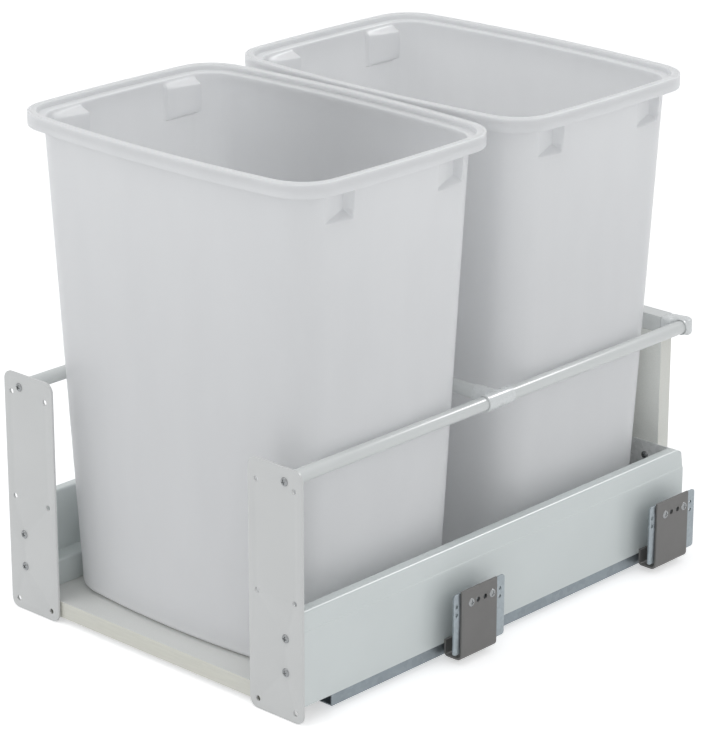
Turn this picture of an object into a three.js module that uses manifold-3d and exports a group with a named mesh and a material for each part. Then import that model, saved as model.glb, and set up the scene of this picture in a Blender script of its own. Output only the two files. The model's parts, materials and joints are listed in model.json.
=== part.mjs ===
// Pull-out waste unit for a base cabinet: a double-walled steel drawer without a front, carrying two tall
// plastic bins one behind the other, on a pair of full-extension ball runners.
//
// Millimetres, +Z up. +X is the right side and -Y is the front, where the unit pulls out. Everything is drawn
// with y = 0 at the front faces of the door brackets and z = 0 at their lower edges; the outer group then
// moves the centre of the footprint to the origin.

import * as THREE from 'three';
import { mergeVertices } from 'three/addons/utils/BufferGeometryUtils.js';
import Module from 'manifold-3d';

const wasm = await Module();
wasm.setup();

// ---------------------------------------------------------------- driving dimensions
// Heights are above the underside of the runners, unless a comment says otherwise.

const fit = 0.3;                 // gap between pieces that touch
const running = 0.4;             // gap beside a piece that slides
const headSeat = 0.01;           // a screw head stands this far off its seat

// bins
const binSideGap = 2.9;          // rim inside the outer faces of the side profiles
const binDepth = 266;
const binHeight = 457;
const binWall = 2.5;
const binFront = 4.5;            // front bin's rim behind the faces of the door brackets
const binSpacing = 8;            // between the two rims
const binBaseGap = 4.4;          // base to the side profiles' inner walls
const binBaseDepth = 220;
const binRimOut = 12;            // rim beyond the body
const binRimHeight = 13;
const binRimWall = 2.2;
const binRimPlate = 2.8;
const binRimCorner = 38;
const binTopCorner = 32;
const binBaseCorner = 34;
const binBowX = 2;               // how far the middle of a side bows out past its ends
const binBowY = 7;
const binFoot = 8;               // rounding round the base
const binEdge = 1.2;             // rounding of the rim's upper edge
const rimStepWidth = 1.3;
const rimStepDepth = 2;

// stacking notches, recesses under the rim of the short sides
const notchAt = 70;              // from the middle of the side
const notchLength = 32;
const notchHeight = 30;
const notchShallow = 3;
const notchDeep = 11;
const notchSlope = 12;
const notchLap = 2;              // the notch goes on this far up behind the rim

// side profiles, folded from one sheet each
const drawerWidth = 374.8;       // over the outer faces of the two side profiles
const sheet = 1.2;
const profileTop = 100.7;
const profileSkirt = 12;         // the outer wall ends at this height
const profileTopWidth = 13.4;
const profileFootWidth = 32;
const profileShortfall = 5;      // the profile ends this far in front of the back panel
const profileRearRound = 9;
const ledgeRoom = 2.4;           // free height over the runners
const topRound = 3.5;
const grooveHeight = 81.6;
const grooveDepth = 0.7;
const bandLean = 0.5;            // the part over the groove leans in by this much
const footFlange = 20;           // flange under the bottom board
const footFlangeFront = 30;
const endFlange = 2;             // front end plate, which takes the side screws
const endFlangeLow = 33;
const endFlangeInset = 5;        // below the top of the profile
const endFlangeReach = 27;       // from the outer face towards the middle

// door brackets
const bracketDrop = 5;           // they hang this far below the runners
const bracketWidth = 64.5;
const bracketCrown = 13;         // rail axis to the upper edge
const bracketThickness = 2.5;
const bracketCorner = 9;
const bracketOverhang = 1.6;     // how far a bracket stands out past its side profile
const doorHoleRadius = 2.5;
const doorHoleEdge = 9.5;        // outer hole column to the outer edge, and lowest hole to the lower edge
const doorHoleInner = 10;        // inner hole column to the inner edge
const doorHoleTop = 19.5;        // highest hole to the upper edge
const doorHoleRows = 3;

// board and back panel
const boardFront = 4;
const boardThickness = 16;
const boardGap = 0.4;
const panelThickness = 16;
const panelInset = 3.4;          // ends inside the side profiles' inner walls
const rearMargin = 7.5;          // rear bin's rim to the rear face of the back panel

// rails
const railInset = 12.4;          // side profile's outer face to the outside of the rail
const railHeight = 217;
const railRadius = 6.5;
const tubeWall = 1.2;
const railPlug = 14;             // solid front end of a side rail
const teeLength = 36;
const teeWall = 1.2;
const teeRing = 0.5;
const teeRingLength = 3;
const teeTaper = 9;
const teeReach = 18;             // branch beyond the side rail
const elbowWall = 1.2;
const elbowSetback = 9;          // ring face behind the front of the back panel
const elbowDepth = 13;
const elbowSocket = 8;
const elbowRound = 9;
const elbowBevel = 1.5;
const elbowCollar = 1.5;
const seamInset = 1.5;           // rear rail ends this far inside the back panel's ends
const rearRailSkirt = 14;
const tongueLength = 18;

// fasteners
const screwRadius = 1.9;
const screwHeadRadius = 4;
const screwHead = 1.6;
const screwLength = 12;
const screwHoleGap = 0.3;
const sideScrewHeight = 40;
const sideScrewPitch = 32;
const boardScrewFront = 90;
const boardScrewRear = 440;

// angles behind the side profiles
const angleSheet = 1.5;
const angleReach = 40.7;
const angleFoot = 54;            // along the back panel, from the narrow part's inner wall
const angleLift = 0.4;           // over the side profile's ledge
const angleTopInset = 5.7;       // below the top of the side profile
const angleScrewInset = 36;      // from the narrow part's inner wall
const angleScrewRise = 15;       // over the lower edge
const angleScrewPitch = 24;

// runners: a C-shaped cabinet member, an H-shaped middle member and a C-shaped drawer member
const runnerSheet = 1.4;
const runnerFront = 39;
const runnerLength = 500;
const travel = 480;
const runnerHeight = 37;
const raceDrop = 9;              // underside of the lower lips
const ballRadius = 2.2;
const ballGap = 0.3;
const lipDepth = 7;
const cabinetFlange = 17.9;      // flange along the underside of the cabinet member
const middleFlange = 9.9;
const middleSetback = 6;
const cageLength = 200;
const cageSheet = 0.8;
const cageGap = 0.5;
const cageTab = 1;
const cageStagger = 10;          // inner cage behind the outer cage
const ballsPerRow = 4;

// wall brackets that carry the cabinet members
const wallGap = 21.1;            // side profiles' outer faces to the cabinet walls
const wallBracketFront = 184;
const wallBracketRear = 465;
const wallBracketWidth = 48;
const wallBracketHeight = 68;
const wallBracketSheet = 2;
const wallBracketLeg = 16;
const bossRadius = 3.5;
const wallHoleDrop = 14;         // below the upper edge
const wallHoleFirst = 13;        // from the front edge
const wallHoleEnd = 6.5;         // from the rear edge
const wallHoleRadius = 2.4;
const wallHoleCount = 4;
const wallScrewHead = 1;
const wallScrewLength = 6.5;
const plateTopInset = 2;         // below the bracket's upper edge
const plateFoot = 7;
const plateLead = 8;             // zinc plate in front of its bracket
const plateTrail = 13;           // zinc plate behind its bracket
const plateCorner = 3;
const plateSmallHole = 1.6;
const plateSmallDrop = 8;

// ---------------------------------------------------------------- derived places

const baseZ = bracketDrop;
const zOf = (height) => baseZ + height;
const outerX = drawerWidth / 2;
const innerTopX = outerX - profileTopWidth;
const innerX = outerX - profileFootWidth;
const wallReach = outerX + wallGap;
const railX = outerX - railInset - railRadius;
const railZ = zOf(railHeight);
const boardTop = zOf(boardThickness);
const bracketHeight = railZ + bracketCrown;
const doorHoleSpacing = bracketWidth - doorHoleEdge - doorHoleInner;
const doorHolePitch = (bracketHeight - doorHoleEdge - doorHoleTop) / (doorHoleRows - 1);
const binWidth = drawerWidth - 2 * binSideGap;
const binBaseWidth = 2 * (innerX - binBaseGap);
const frontBinY = binFront + binDepth / 2;
const rearBinY = frontBinY + binDepth + binSpacing;
const drawerRear = rearBinY + binDepth / 2 + rearMargin;
const panelFront = drawerRear - panelThickness;
const panelHalfWidth = innerX - panelInset;
const profileFront = bracketThickness + fit;
const profileRear = panelFront - profileShortfall;
const teeY = (frontBinY + rearBinY) / 2;
const teeRadius = railRadius + fit + teeWall;
const elbowRadius = railRadius + fit + elbowWall;
const elbowFront = panelFront + elbowSetback;
const elbowRear = elbowFront + elbowDepth;
const rearRailLow = railZ - elbowRadius;
const rearRailTop = railZ + elbowRadius;
const panelTop = rearRailLow - fit;
const screwHole = screwRadius + screwHoleGap;
const sideScrews = [zOf(sideScrewHeight), zOf(sideScrewHeight + sideScrewPitch)];
const boardScrews = [boardScrewFront, boardScrewRear];
const boardScrewX = innerX - footFlange / 2;
const flangeTop = baseZ - fit;
const ledgeHeight = runnerHeight + ledgeRoom + sheet;
const angleLow = ledgeHeight + angleLift;
const angleHigh = profileTop - angleTopInset;
const angleHalfWidth = innerTopX - angleFoot;
const angleScrewX = innerTopX - angleScrewInset;
const angleScrews = [zOf(angleLow + angleScrewRise), zOf(angleLow + angleScrewRise + angleScrewPitch)];
const wallHoleHeight = wallBracketHeight - wallHoleDrop;
const wallHolePitch = (wallBracketWidth - wallHoleFirst - wallHoleEnd) / (wallHoleCount - 1);
const plateHeight = wallBracketHeight - plateTopInset - plateFoot;
const depthCentre = (elbowRear - screwHead - headSeat) / 2;

// ---------------------------------------------------------------- materials

function finish(color, roughness, metalness) {
  return new THREE.MeshStandardMaterial({ color, roughness, metalness });
}

const paint = () => finish(0xc9cbc9, 0.45, 0.1);
const laminate = () => finish(0xc8c8bf, 0.6, 0);
const zinc = () => finish(0x9aa4aa, 0.38, 0.85);
const taupe = () => finish(0x75716d, 0.5, 0.2);
const steel = () => finish(0xb4b8ba, 0.3, 0.9);
const binPlastic = () => finish(0xd4d6d8, 0.42, 0);
const railPlastic = () => finish(0xc6c8c6, 0.5, 0);
const cagePlastic = () => finish(0xa8adb0, 0.5, 0.2);

// ---------------------------------------------------------------- solids

// Position-only geometry with shared corners, and without the slivers that a pole leaves.
function weld(geometry) {
  const bare = new THREE.BufferGeometry();
  bare.setAttribute('position', geometry.getAttribute('position').clone());
  if (geometry.index) bare.setIndex(geometry.index.clone());
  const merged = mergeVertices(bare, 1e-4);
  const kept = [];
  const index = merged.index.array;
  for (let i = 0; i < index.length; i += 3) {
    const [a, b, c] = [index[i], index[i + 1], index[i + 2]];
    if (a !== b && b !== c && c !== a) kept.push(a, b, c);
  }
  merged.setIndex(kept);
  return merged;
}

function solid(geometry) {
  const welded = weld(geometry);
  return new wasm.Manifold(new wasm.Mesh({
    numProp: 3,
    vertProperties: new Float32Array(welded.getAttribute('position').array),
    triVerts: new Uint32Array(welded.index.array),
  }));
}

function geometryOf(body) {
  const mesh = body.getMesh();
  const positions = new Float32Array(mesh.numVert * 3);
  for (let i = 0; i < mesh.numVert; i += 1) {
    for (let k = 0; k < 3; k += 1) positions[3 * i + k] = mesh.vertProperties[mesh.numProp * i + k];
  }
  const geometry = new THREE.BufferGeometry();
  geometry.setAttribute('position', new THREE.BufferAttribute(positions, 3));
  geometry.setIndex(Array.from(mesh.triVerts));
  return geometry;
}

const cut = (geometry, ...tools) =>
  geometryOf(tools.reduce((body, tool) => body.subtract(solid(tool)), solid(geometry)));
const join = (geometry, ...others) =>
  geometryOf(others.reduce((body, other) => body.add(solid(other)), solid(geometry)));
const common = (a, b) => geometryOf(solid(a).intersect(solid(b)));

// The same piece for the other side.
function mirrored(geometry) {
  const copy = weld(geometry);
  copy.scale(-1, 1, 1);
  const index = copy.index.array;
  for (let i = 0; i < index.length; i += 3) [index[i], index[i + 1]] = [index[i + 1], index[i]];
  return copy;
}

const polygon = (points) => new THREE.Shape(points.map(([x, y]) => new THREE.Vector2(x, y)));

function roundedRectangle(x0, y0, x1, y1, radius) {
  const shape = new THREE.Shape();
  shape.moveTo(x0 + radius, y0);
  shape.lineTo(x1 - radius, y0);
  shape.absarc(x1 - radius, y0 + radius, radius, -Math.PI / 2, 0, false);
  shape.lineTo(x1, y1 - radius);
  shape.absarc(x1 - radius, y1 - radius, radius, 0, Math.PI / 2, false);
  shape.lineTo(x0 + radius, y1);
  shape.absarc(x0 + radius, y1 - radius, radius, Math.PI / 2, Math.PI, false);
  shape.lineTo(x0, y0 + radius);
  shape.absarc(x0 + radius, y0 + radius, radius, Math.PI, 1.5 * Math.PI, false);
  return shape;
}

function hole(x, y, radius) {
  const path = new THREE.Path();
  path.absarc(x, y, radius, 0, 2 * Math.PI, true);
  return path;
}

function extruded(shape, length, curveSegments) {
  return new THREE.ExtrudeGeometry(shape, { depth: length, bevelEnabled: false, curveSegments });
}

// A section drawn in (x, z) and pulled along y.
function alongY(shape, y0, y1, curveSegments = 4) {
  const geometry = extruded(shape, y1 - y0, curveSegments);
  geometry.rotateX(Math.PI / 2);
  geometry.translate(0, y1, 0);
  return geometry;
}

// A section drawn in (y, z) and pulled along x.
function alongX(shape, x0, x1, curveSegments = 4) {
  const geometry = extruded(shape, x1 - x0, curveSegments);
  const turn = new THREE.Matrix4().makeBasis(
    new THREE.Vector3(0, 1, 0), new THREE.Vector3(0, 0, 1), new THREE.Vector3(1, 0, 0));
  geometry.applyMatrix4(turn);
  geometry.translate(x0, 0, 0);
  return geometry;
}

// A section drawn in (x, y) and pulled along z.
function alongZ(shape, z0, z1, curveSegments = 4) {
  const geometry = extruded(shape, z1 - z0, curveSegments);
  geometry.translate(0, 0, z0);
  return geometry;
}

function block([x0, x1], [y0, y1], [z0, z1]) {
  const geometry = new THREE.BoxGeometry(x1 - x0, y1 - y0, z1 - z0);
  geometry.translate((x0 + x1) / 2, (y0 + y1) / 2, (z0 + z1) / 2);
  return geometry;
}

// A cylinder along an axis; the two middle coordinates are those of the other two axes, in order.
function rod(axis, radius, [from, to], [a, b], segments = 12) {
  const geometry = new THREE.CylinderGeometry(radius, radius, to - from, segments);
  const middle = (from + to) / 2;
  if (axis === 'x') {
    geometry.rotateZ(Math.PI / 2);
    geometry.translate(middle, a, b);
  } else if (axis === 'y') {
    geometry.translate(a, middle, b);
  } else {
    geometry.rotateX(Math.PI / 2);
    geometry.translate(a, b, middle);
  }
  return geometry;
}

// A turned piece on an axis along y, from points of (radius, y) that run forwards on the outside.
function turned(points, x, z, segments = 16) {
  const profile = points.map(([radius, y]) => new THREE.Vector2(radius, y));
  const geometry = new THREE.LatheGeometry(profile, segments);
  geometry.translate(x, 0, z);
  return geometry;
}

// A strip of sheet metal: the points run along one face, and the sheet lies to their left.
function sheetSection(points, thickness) {
  const normals = points.slice(1).map(([x, y], i) => {
    const [px, py] = points[i];
    const length = Math.hypot(x - px, y - py);
    return [(py - y) / length, (x - px) / length];
  });
  const offset = points.map(([x, y], i) => {
    const before = normals[Math.max(i - 1, 0)];
    const after = normals[Math.min(i, normals.length - 1)];
    const mitre = thickness / (1 + before[0] * after[0] + before[1] * after[1]);
    return [x + (before[0] + after[0]) * mitre, y + (before[1] + after[1]) * mitre];
  });
  return polygon([...points, ...offset.reverse()]);
}

// ---------------------------------------------------------------- the assembly

const unit = new THREE.Group();
unit.position.set(0, -depthCentre, 0);

function piece(name, geometry, material, position = [0, 0, 0], turn = [0, 0, 0]) {
  const mesh = new THREE.Mesh(weld(geometry), material());
  mesh.geometry.computeVertexNormals();
  mesh.name = name;
  mesh.position.set(...position);
  mesh.rotation.set(...turn);
  unit.add(mesh);
}

function pair(name, geometry, material, position) {
  piece(`right_${name}`, geometry, material, position);
  piece(`left_${name}`, mirrored(geometry), material, position);
}

const sides = [['left', -1], ['right', 1]];

// ---------------------------------------------------------------- board and back panel

function bottomBoard() {
  const half = innerX - boardGap;
  const board = block([-half, half], [boardFront, drawerRear], [baseZ, boardTop]);
  const pilots = sides.flatMap(([, sign]) => boardScrews.map((y) =>
    rod('z', screwHole, [baseZ - 1, baseZ + screwLength], [sign * boardScrewX, y])));
  return cut(board, ...pilots);
}

function backPanel() {
  const panel = block(
    [-panelHalfWidth, panelHalfWidth], [panelFront, drawerRear], [boardTop + fit, panelTop]);
  const pilots = sides.flatMap(([, sign]) => angleScrews.map((z) =>
    rod('y', screwHole, [panelFront - 1, panelFront + screwLength], [sign * angleScrewX, z])));
  return cut(panel, ...pilots);
}

piece('bottom_board', bottomBoard(), laminate);
piece('back_panel', backPanel(), laminate);

// ---------------------------------------------------------------- side profiles

// From the lower edge of the outer wall up past the groove, over the rounded top, down the narrow upper
// part, out over the ledge that clears the runner, down to the foot and in under the bottom board.
function profileSection() {
  const top = zOf(profileTop);
  const shoulderX = outerX - grooveDepth - bandLean;
  const arc = [0, 1, 2, 3].map((i) => {
    const angle = (i / 3) * (Math.PI / 2);
    return [
      shoulderX - topRound + topRound * Math.cos(angle),
      top - topRound + topRound * Math.sin(angle),
    ];
  });
  const ledgeTop = zOf(ledgeHeight);
  return sheetSection([
    [outerX, zOf(profileSkirt)],
    [outerX, zOf(grooveHeight)],
    [outerX - grooveDepth, zOf(grooveHeight) + grooveDepth],
    ...arc,
    [innerTopX, top],
    [innerTopX, ledgeTop],
    [innerX, ledgeTop],
    [innerX, flangeTop],
    [innerX - footFlange, flangeTop],
  ], sheet);
}

// Takes off the upper rear corner in a round.
function rearCorner() {
  const top = zOf(profileTop);
  const round = profileRearRound;
  const shape = new THREE.Shape();
  shape.moveTo(profileRear - round, top + 1);
  shape.lineTo(profileRear + 1, top + 1);
  shape.lineTo(profileRear + 1, top - round);
  shape.lineTo(profileRear, top - round);
  shape.absarc(profileRear - round, top - round, round, 0, Math.PI / 2, false);
  shape.closePath();
  return alongX(shape, innerTopX - 1, outerX + 1, 4);
}

function sideProfile() {
  const strip = alongY(profileSection(), profileFront, profileRear);
  const end = block(
    [outerX - endFlangeReach, outerX - grooveDepth - bandLean - sheet / 2],
    [profileFront, profileFront + endFlange],
    [zOf(endFlangeLow), zOf(profileTop - endFlangeInset)]);
  const flangeCut = block(
    [innerX - footFlange - 1, innerX], [profileFront - 1, footFlangeFront], [-1, baseZ]);
  const screwHoles = [
    ...sideScrews.map((z) => rod('y', screwHole, [0, screwLength + 2], [railX, z])),
    ...boardScrews.map((y) => rod('z', screwHole, [0, baseZ], [boardScrewX, y])),
  ];
  return cut(join(strip, end), flangeCut, rearCorner(), ...screwHoles);
}

pair('side_profile', sideProfile(), paint);

// ---------------------------------------------------------------- door brackets

function doorBracket() {
  const outer = outerX + bracketOverhang;
  const shape = roundedRectangle(outer - bracketWidth, 0, outer, bracketHeight, bracketCorner);
  for (const x of [outer - doorHoleEdge, outer - doorHoleEdge - doorHoleSpacing]) {
    for (let row = 0; row < doorHoleRows; row += 1) {
      shape.holes.push(hole(x, doorHoleEdge + row * doorHolePitch, doorHoleRadius));
    }
  }
  for (const z of [...sideScrews, railZ]) shape.holes.push(hole(railX, z, screwHole));
  return alongY(shape, 0, bracketThickness);
}

pair('door_bracket', doorBracket(), paint);

// ---------------------------------------------------------------- screws

// A pan-head screw along +y whose head ends at y = 0.
function screw(length, headRadius = screwHeadRadius, head = screwHead) {
  return turned([
    [0, -head],
    [headRadius * 0.7, -head],
    [headRadius, -head * 0.45],
    [headRadius, 0],
    [screwRadius, 0],
    [screwRadius, length - screwRadius],
    [0, length],
  ], 0, 0, 8);
}

for (const [side, sign] of sides) {
  const frontScrews = { rail_screw: railZ, side_screw_low: sideScrews[0], side_screw_high: sideScrews[1] };
  for (const [name, z] of Object.entries(frontScrews)) {
    piece(`${side}_${name}`, screw(screwLength), steel, [sign * railX, -headSeat, z]);
  }
  ['front', 'rear'].forEach((where, i) => {
    const at = [sign * boardScrewX, boardScrews[i], flangeTop - sheet - headSeat];
    piece(`${side}_board_screw_${where}`, screw(screwLength), steel, at, [Math.PI / 2, 0, 0]);
  });
  ['low', 'high'].forEach((where, i) => {
    const at = [sign * angleScrewX, panelFront - fit - angleSheet - headSeat, angleScrews[i]];
    piece(`${side}_panel_screw_${where}`, screw(screwLength), steel, at);
  });
}

// ---------------------------------------------------------------- rails

// A tube whose front end is solid round its screw, and whose rear end sits in the corner connector.
function sideRail() {
  const from = bracketThickness + fit;
  const to = elbowFront + elbowSocket - fit;
  const bore = railRadius - tubeWall;
  return turned([
    [screwHole, from],
    [railRadius, from],
    [railRadius, to],
    [bore, to],
    [bore, from + railPlug],
    [screwHole, from + railPlug],
    [screwHole, from],
  ], railX, railZ);
}

// A sleeve over the side rail, with a ring at its front, a taper at its rear and a branch for the cross rail.
function tee() {
  const from = teeY - teeLength / 2;
  const to = teeY + teeLength / 2;
  const sleeve = turned([
    [0, from],
    [teeRadius + teeRing, from],
    [teeRadius + teeRing, from + teeRingLength],
    [teeRadius, from + teeRingLength],
    [teeRadius, to - teeTaper],
    [railRadius + fit + teeWall / 2, to],
    [0, to],
  ], railX, railZ);
  const branchEnd = railX - railRadius - teeReach;
  const branch = rod('x', teeRadius, [branchEnd, railX], [teeY, railZ], 16);
  const railBore = rod('y', railRadius + fit, [from - 1, to + 1], [railX, railZ], 16);
  const crossBore = rod('x', railRadius + fit, [branchEnd - 1, railX - teeRadius], [teeY, railZ], 16);
  return cut(join(sleeve, branch), railBore, crossBore);
}

function crossRail() {
  const half = railX - teeRadius - fit;
  const outer = rod('x', railRadius, [-half, half], [teeY, railZ], 16);
  const bore = rod('x', railRadius - tubeWall, [-half - 1, half + 1], [teeY, railZ], 16);
  return cut(outer, bore);
}

pair('side_rail', sideRail(), paint);
pair('tee_connector', tee(), railPlastic);
piece('cross_rail', crossRail(), paint);

// The rear rail is a box section on the back panel's top edge; its rear wall goes on down behind the panel.
const seamX = panelHalfWidth - seamInset;
const skirtFront = drawerRear + fit;
const skirtRear = skirtFront + sheet;

function rearRail() {
  const shape = polygon([
    [panelFront, rearRailLow],
    [skirtFront, rearRailLow],
    [skirtFront, rearRailLow - rearRailSkirt],
    [skirtRear, rearRailLow - rearRailSkirt],
    [skirtRear, rearRailTop],
    [panelFront, rearRailTop],
  ]);
  shape.holes.push(new THREE.Path([
    new THREE.Vector2(panelFront + sheet, rearRailLow + sheet),
    new THREE.Vector2(panelFront + sheet, rearRailTop - sheet),
    new THREE.Vector2(skirtFront, rearRailTop - sheet),
    new THREE.Vector2(skirtFront, rearRailLow + sheet),
  ]));
  return alongX(shape, -seamX, seamX);
}

// A rounded corner block with a collared socket for the side rail and a tongue inside the rear rail.
function cornerConnector() {
  const near = seamX + fit;
  const far = railX + elbowRadius;
  const bevel = elbowBevel;
  const plan = new THREE.Shape();
  plan.moveTo(near + bevel, panelFront + bevel);
  plan.lineTo(near + elbowRound - bevel, panelFront + bevel);
  plan.lineTo(railX - railRadius, elbowFront + bevel);
  plan.lineTo(far - bevel, elbowFront + bevel);
  plan.lineTo(far - bevel, elbowRear - elbowRound);
  plan.absarc(far - elbowRound, elbowRear - elbowRound, elbowRound - bevel, 0, Math.PI / 2, false);
  plan.lineTo(near + bevel, skirtRear - bevel);
  plan.closePath();
  const bulk = new THREE.ExtrudeGeometry(plan, {
    depth: rearRailTop - rearRailLow - 2 * bevel,
    bevelEnabled: true,
    bevelThickness: bevel,
    bevelSize: bevel,
    bevelSegments: 1,
    curveSegments: 4,
  });
  bulk.translate(0, 0, rearRailLow + bevel);
  const collar = rod('y', elbowRadius, [elbowFront - elbowCollar, elbowFront + bevel], [railX, railZ], 16);
  const slack = sheet + fit;
  const tongue = block(
    [near - tongueLength, near + 2 * bevel],
    [panelFront + slack, skirtFront - fit],
    [rearRailLow + slack, rearRailTop - slack]);
  const socket = rod(
    'y', railRadius + fit, [elbowFront - elbowCollar - 1, elbowFront + elbowSocket], [railX, railZ], 16);
  return cut(join(bulk, collar, tongue), socket);
}

piece('rear_rail', rearRail(), paint);
pair('corner_connector', cornerConnector(), railPlastic);

// ---------------------------------------------------------------- angles at the back

// An angle that ties the narrow part of the side profile to the back panel.
function backBracket() {
  const wallFace = innerTopX - fit;
  const panelFace = panelFront - fit;
  const section = sheetSection([
    [wallFace, panelFace - angleReach],
    [wallFace, panelFace],
    [angleHalfWidth, panelFace],
  ], angleSheet);
  const holes = angleScrews.map((z) =>
    rod('y', screwHole, [panelFace - angleSheet - 1, panelFace + 1], [angleScrewX, z]));
  return cut(alongZ(section, zOf(angleLow), zOf(angleHigh)), ...holes);
}

pair('back_bracket', backBracket(), zinc);

// ---------------------------------------------------------------- runners

const runnerRear = runnerFront + runnerLength;
const cabinetWebX = outerX - sheet - fit;
const raceTop = zOf(runnerHeight) - runnerSheet;
const lipLow = zOf(raceDrop);
const raceLow = lipLow + runnerSheet;
const ballRoom = 2 * (ballRadius + ballGap);
const ballTop = raceTop - ballRoom / 2;
const ballLow = raceLow + ballRoom / 2;
const tongueTop = raceTop - ballRoom;
const tongueLow = raceLow + ballRoom;
const cageRoom = cageSheet + 2 * cageGap;
const middleTipX = cabinetWebX - runnerSheet - cageRoom;
const middleWebX = middleTipX - middleFlange;
const drawerTipX = middleWebX - runnerSheet - cageRoom;
const drawerWebX = innerX + sheet + fit;

function cabinetRail() {
  const inner = cabinetWebX - runnerSheet;
  const lipX = inner - lipDepth;
  const flangeX = cabinetWebX - cabinetFlange;
  return alongY(polygon([
    [cabinetWebX, baseZ],
    [cabinetWebX, zOf(runnerHeight)],
    [lipX, zOf(runnerHeight)],
    [lipX, raceTop],
    [inner, raceTop],
    [inner, raceLow],
    [lipX, raceLow],
    [lipX, lipLow],
    [inner, lipLow],
    [inner, baseZ + runnerSheet],
    [flangeX, baseZ + runnerSheet],
    [flangeX, baseZ],
  ]), runnerFront, runnerRear);
}

function middleRail() {
  const inner = middleWebX - runnerSheet;
  const lipX = inner - lipDepth;
  return alongY(polygon([
    [middleWebX, zOf(runnerHeight)],
    [lipX, zOf(runnerHeight)],
    [lipX, raceTop],
    [inner, raceTop],
    [inner, raceLow],
    [lipX, raceLow],
    [lipX, lipLow],
    [middleWebX, lipLow],
    [middleWebX, tongueLow],
    [middleTipX, tongueLow],
    [middleTipX, tongueLow + runnerSheet],
    [middleWebX, tongueLow + runnerSheet],
    [middleWebX, tongueTop - runnerSheet],
    [middleTipX, tongueTop - runnerSheet],
    [middleTipX, tongueTop],
    [middleWebX, tongueTop],
  ]), runnerFront + middleSetback, runnerRear - middleSetback);
}

function drawerRail() {
  const inner = drawerWebX + runnerSheet;
  return alongY(polygon([
    [drawerWebX, tongueLow],
    [drawerTipX, tongueLow],
    [drawerTipX, tongueLow + runnerSheet],
    [inner, tongueLow + runnerSheet],
    [inner, tongueTop - runnerSheet],
    [drawerTipX, tongueTop - runnerSheet],
    [drawerTipX, tongueTop],
    [drawerWebX, tongueTop],
  ]), runnerFront, profileRear - middleSetback);
}

// A thin channel with a row of balls along each edge, between two runner members.
function ballCage(tipX, from) {
  const ballX = tipX - ballRadius - cageGap;
  const near = tipX + cageGap;
  const far = near + cageSheet;
  const edge = ballX - ballRadius + cageTab;
  const half = cageTab / 2;
  const channel = alongY(polygon([
    [edge, ballLow - half],
    [far, ballLow - half],
    [far, ballTop + half],
    [edge, ballTop + half],
    [edge, ballTop - half],
    [near, ballTop - half],
    [near, ballLow + half],
    [edge, ballLow + half],
  ]), from, from + cageLength);
  const pitch = cageLength / ballsPerRow;
  const balls = [];
  for (let i = 0; i < ballsPerRow; i += 1) {
    for (const z of [ballLow, ballTop]) {
      const ball = new THREE.SphereGeometry(ballRadius, 6, 4);
      ball.rotateX(Math.PI / 2);
      ball.translate(ballX, from + pitch * (i + 0.5), z);
      balls.push(ball);
    }
  }
  return join(channel, ...balls);
}

// At full travel the cages have just reached the front ends of their members.
const cageY = runnerFront + middleSetback + travel / 4;

pair('cabinet_rail', cabinetRail(), zinc);
pair('middle_rail', middleRail(), zinc);
pair('drawer_rail', drawerRail(), zinc);
pair('outer_ball_cage', ballCage(middleTipX, cageY), cagePlastic);
pair('inner_ball_cage', ballCage(drawerTipX, cageY + cageStagger), cagePlastic);

// ---------------------------------------------------------------- wall brackets

const holeRow = Array.from({ length: wallHoleCount }, (_, i) => wallHoleFirst + i * wallHolePitch);
const screwedHoles = [holeRow[0], holeRow[wallHoleCount - 1]];

// A U of steel: a short leg on the cabinet member, a web under it and a tall outer plate.
function wallBracket() {
  const legX = outerX + running;
  const section = sheetSection([
    [legX, zOf(wallBracketLeg)],
    [legX, baseZ],
    [wallReach, baseZ],
    [wallReach, zOf(wallBracketHeight)],
  ], wallBracketSheet);
  const bossZ = zOf(profileSkirt / 2);
  const bosses = [0.25, 0.75].map((share) =>
    rod('x', bossRadius, [cabinetWebX + fit, legX + wallBracketSheet / 2],
      [wallBracketWidth * share, bossZ], 8));
  const holes = holeRow.map((y) =>
    rod('x', wallHoleRadius, [wallReach - wallBracketSheet - 1, wallReach + 1], [y, zOf(wallHoleHeight)]));
  return cut(join(alongY(section, 0, wallBracketWidth), ...bosses), ...holes);
}

// The plate inside the bracket's outer plate; it shows in front of it and behind it.
function zincPlate() {
  const low = zOf(plateFoot);
  const rear = wallBracketWidth + plateTrail;
  const shape = roundedRectangle(-plateLead, low, rear, low + plateHeight, plateCorner);
  for (const y of [-plateLead / 2, rear - plateTrail / 2]) {
    shape.holes.push(hole(y, zOf(wallHoleHeight), plateSmallHole));
    shape.holes.push(hole(y, zOf(wallHoleHeight) - plateSmallDrop, plateSmallHole));
  }
  for (const y of screwedHoles) shape.holes.push(hole(y, zOf(wallHoleHeight), wallHoleRadius));
  const face = wallReach - wallBracketSheet - fit;
  return alongX(shape, face - wallBracketSheet, face, 4);
}

const wallPlaces = { front: wallBracketFront, rear: wallBracketRear };
for (const [where, y] of Object.entries(wallPlaces)) {
  pair(`${where}_wall_bracket`, wallBracket(), taupe, [0, y, 0]);
  pair(`${where}_zinc_plate`, zincPlate(), zinc, [0, y, 0]);
  for (const [side, sign] of sides) {
    screwedHoles.forEach((at, i) => {
      const place = [sign * (wallReach + headSeat), y + at, zOf(wallHoleHeight)];
      const geometry = screw(wallScrewLength, screwHeadRadius, wallScrewHead);
      const name = `${side}_${where}_plate_screw_${['front', 'rear'][i]}`;
      piece(name, geometry, steel, place, [0, 0, sign * Math.PI / 2]);
    });
  }
}

// ---------------------------------------------------------------- bins

const cornerSteps = 5;
const bowSteps = 3;

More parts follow.
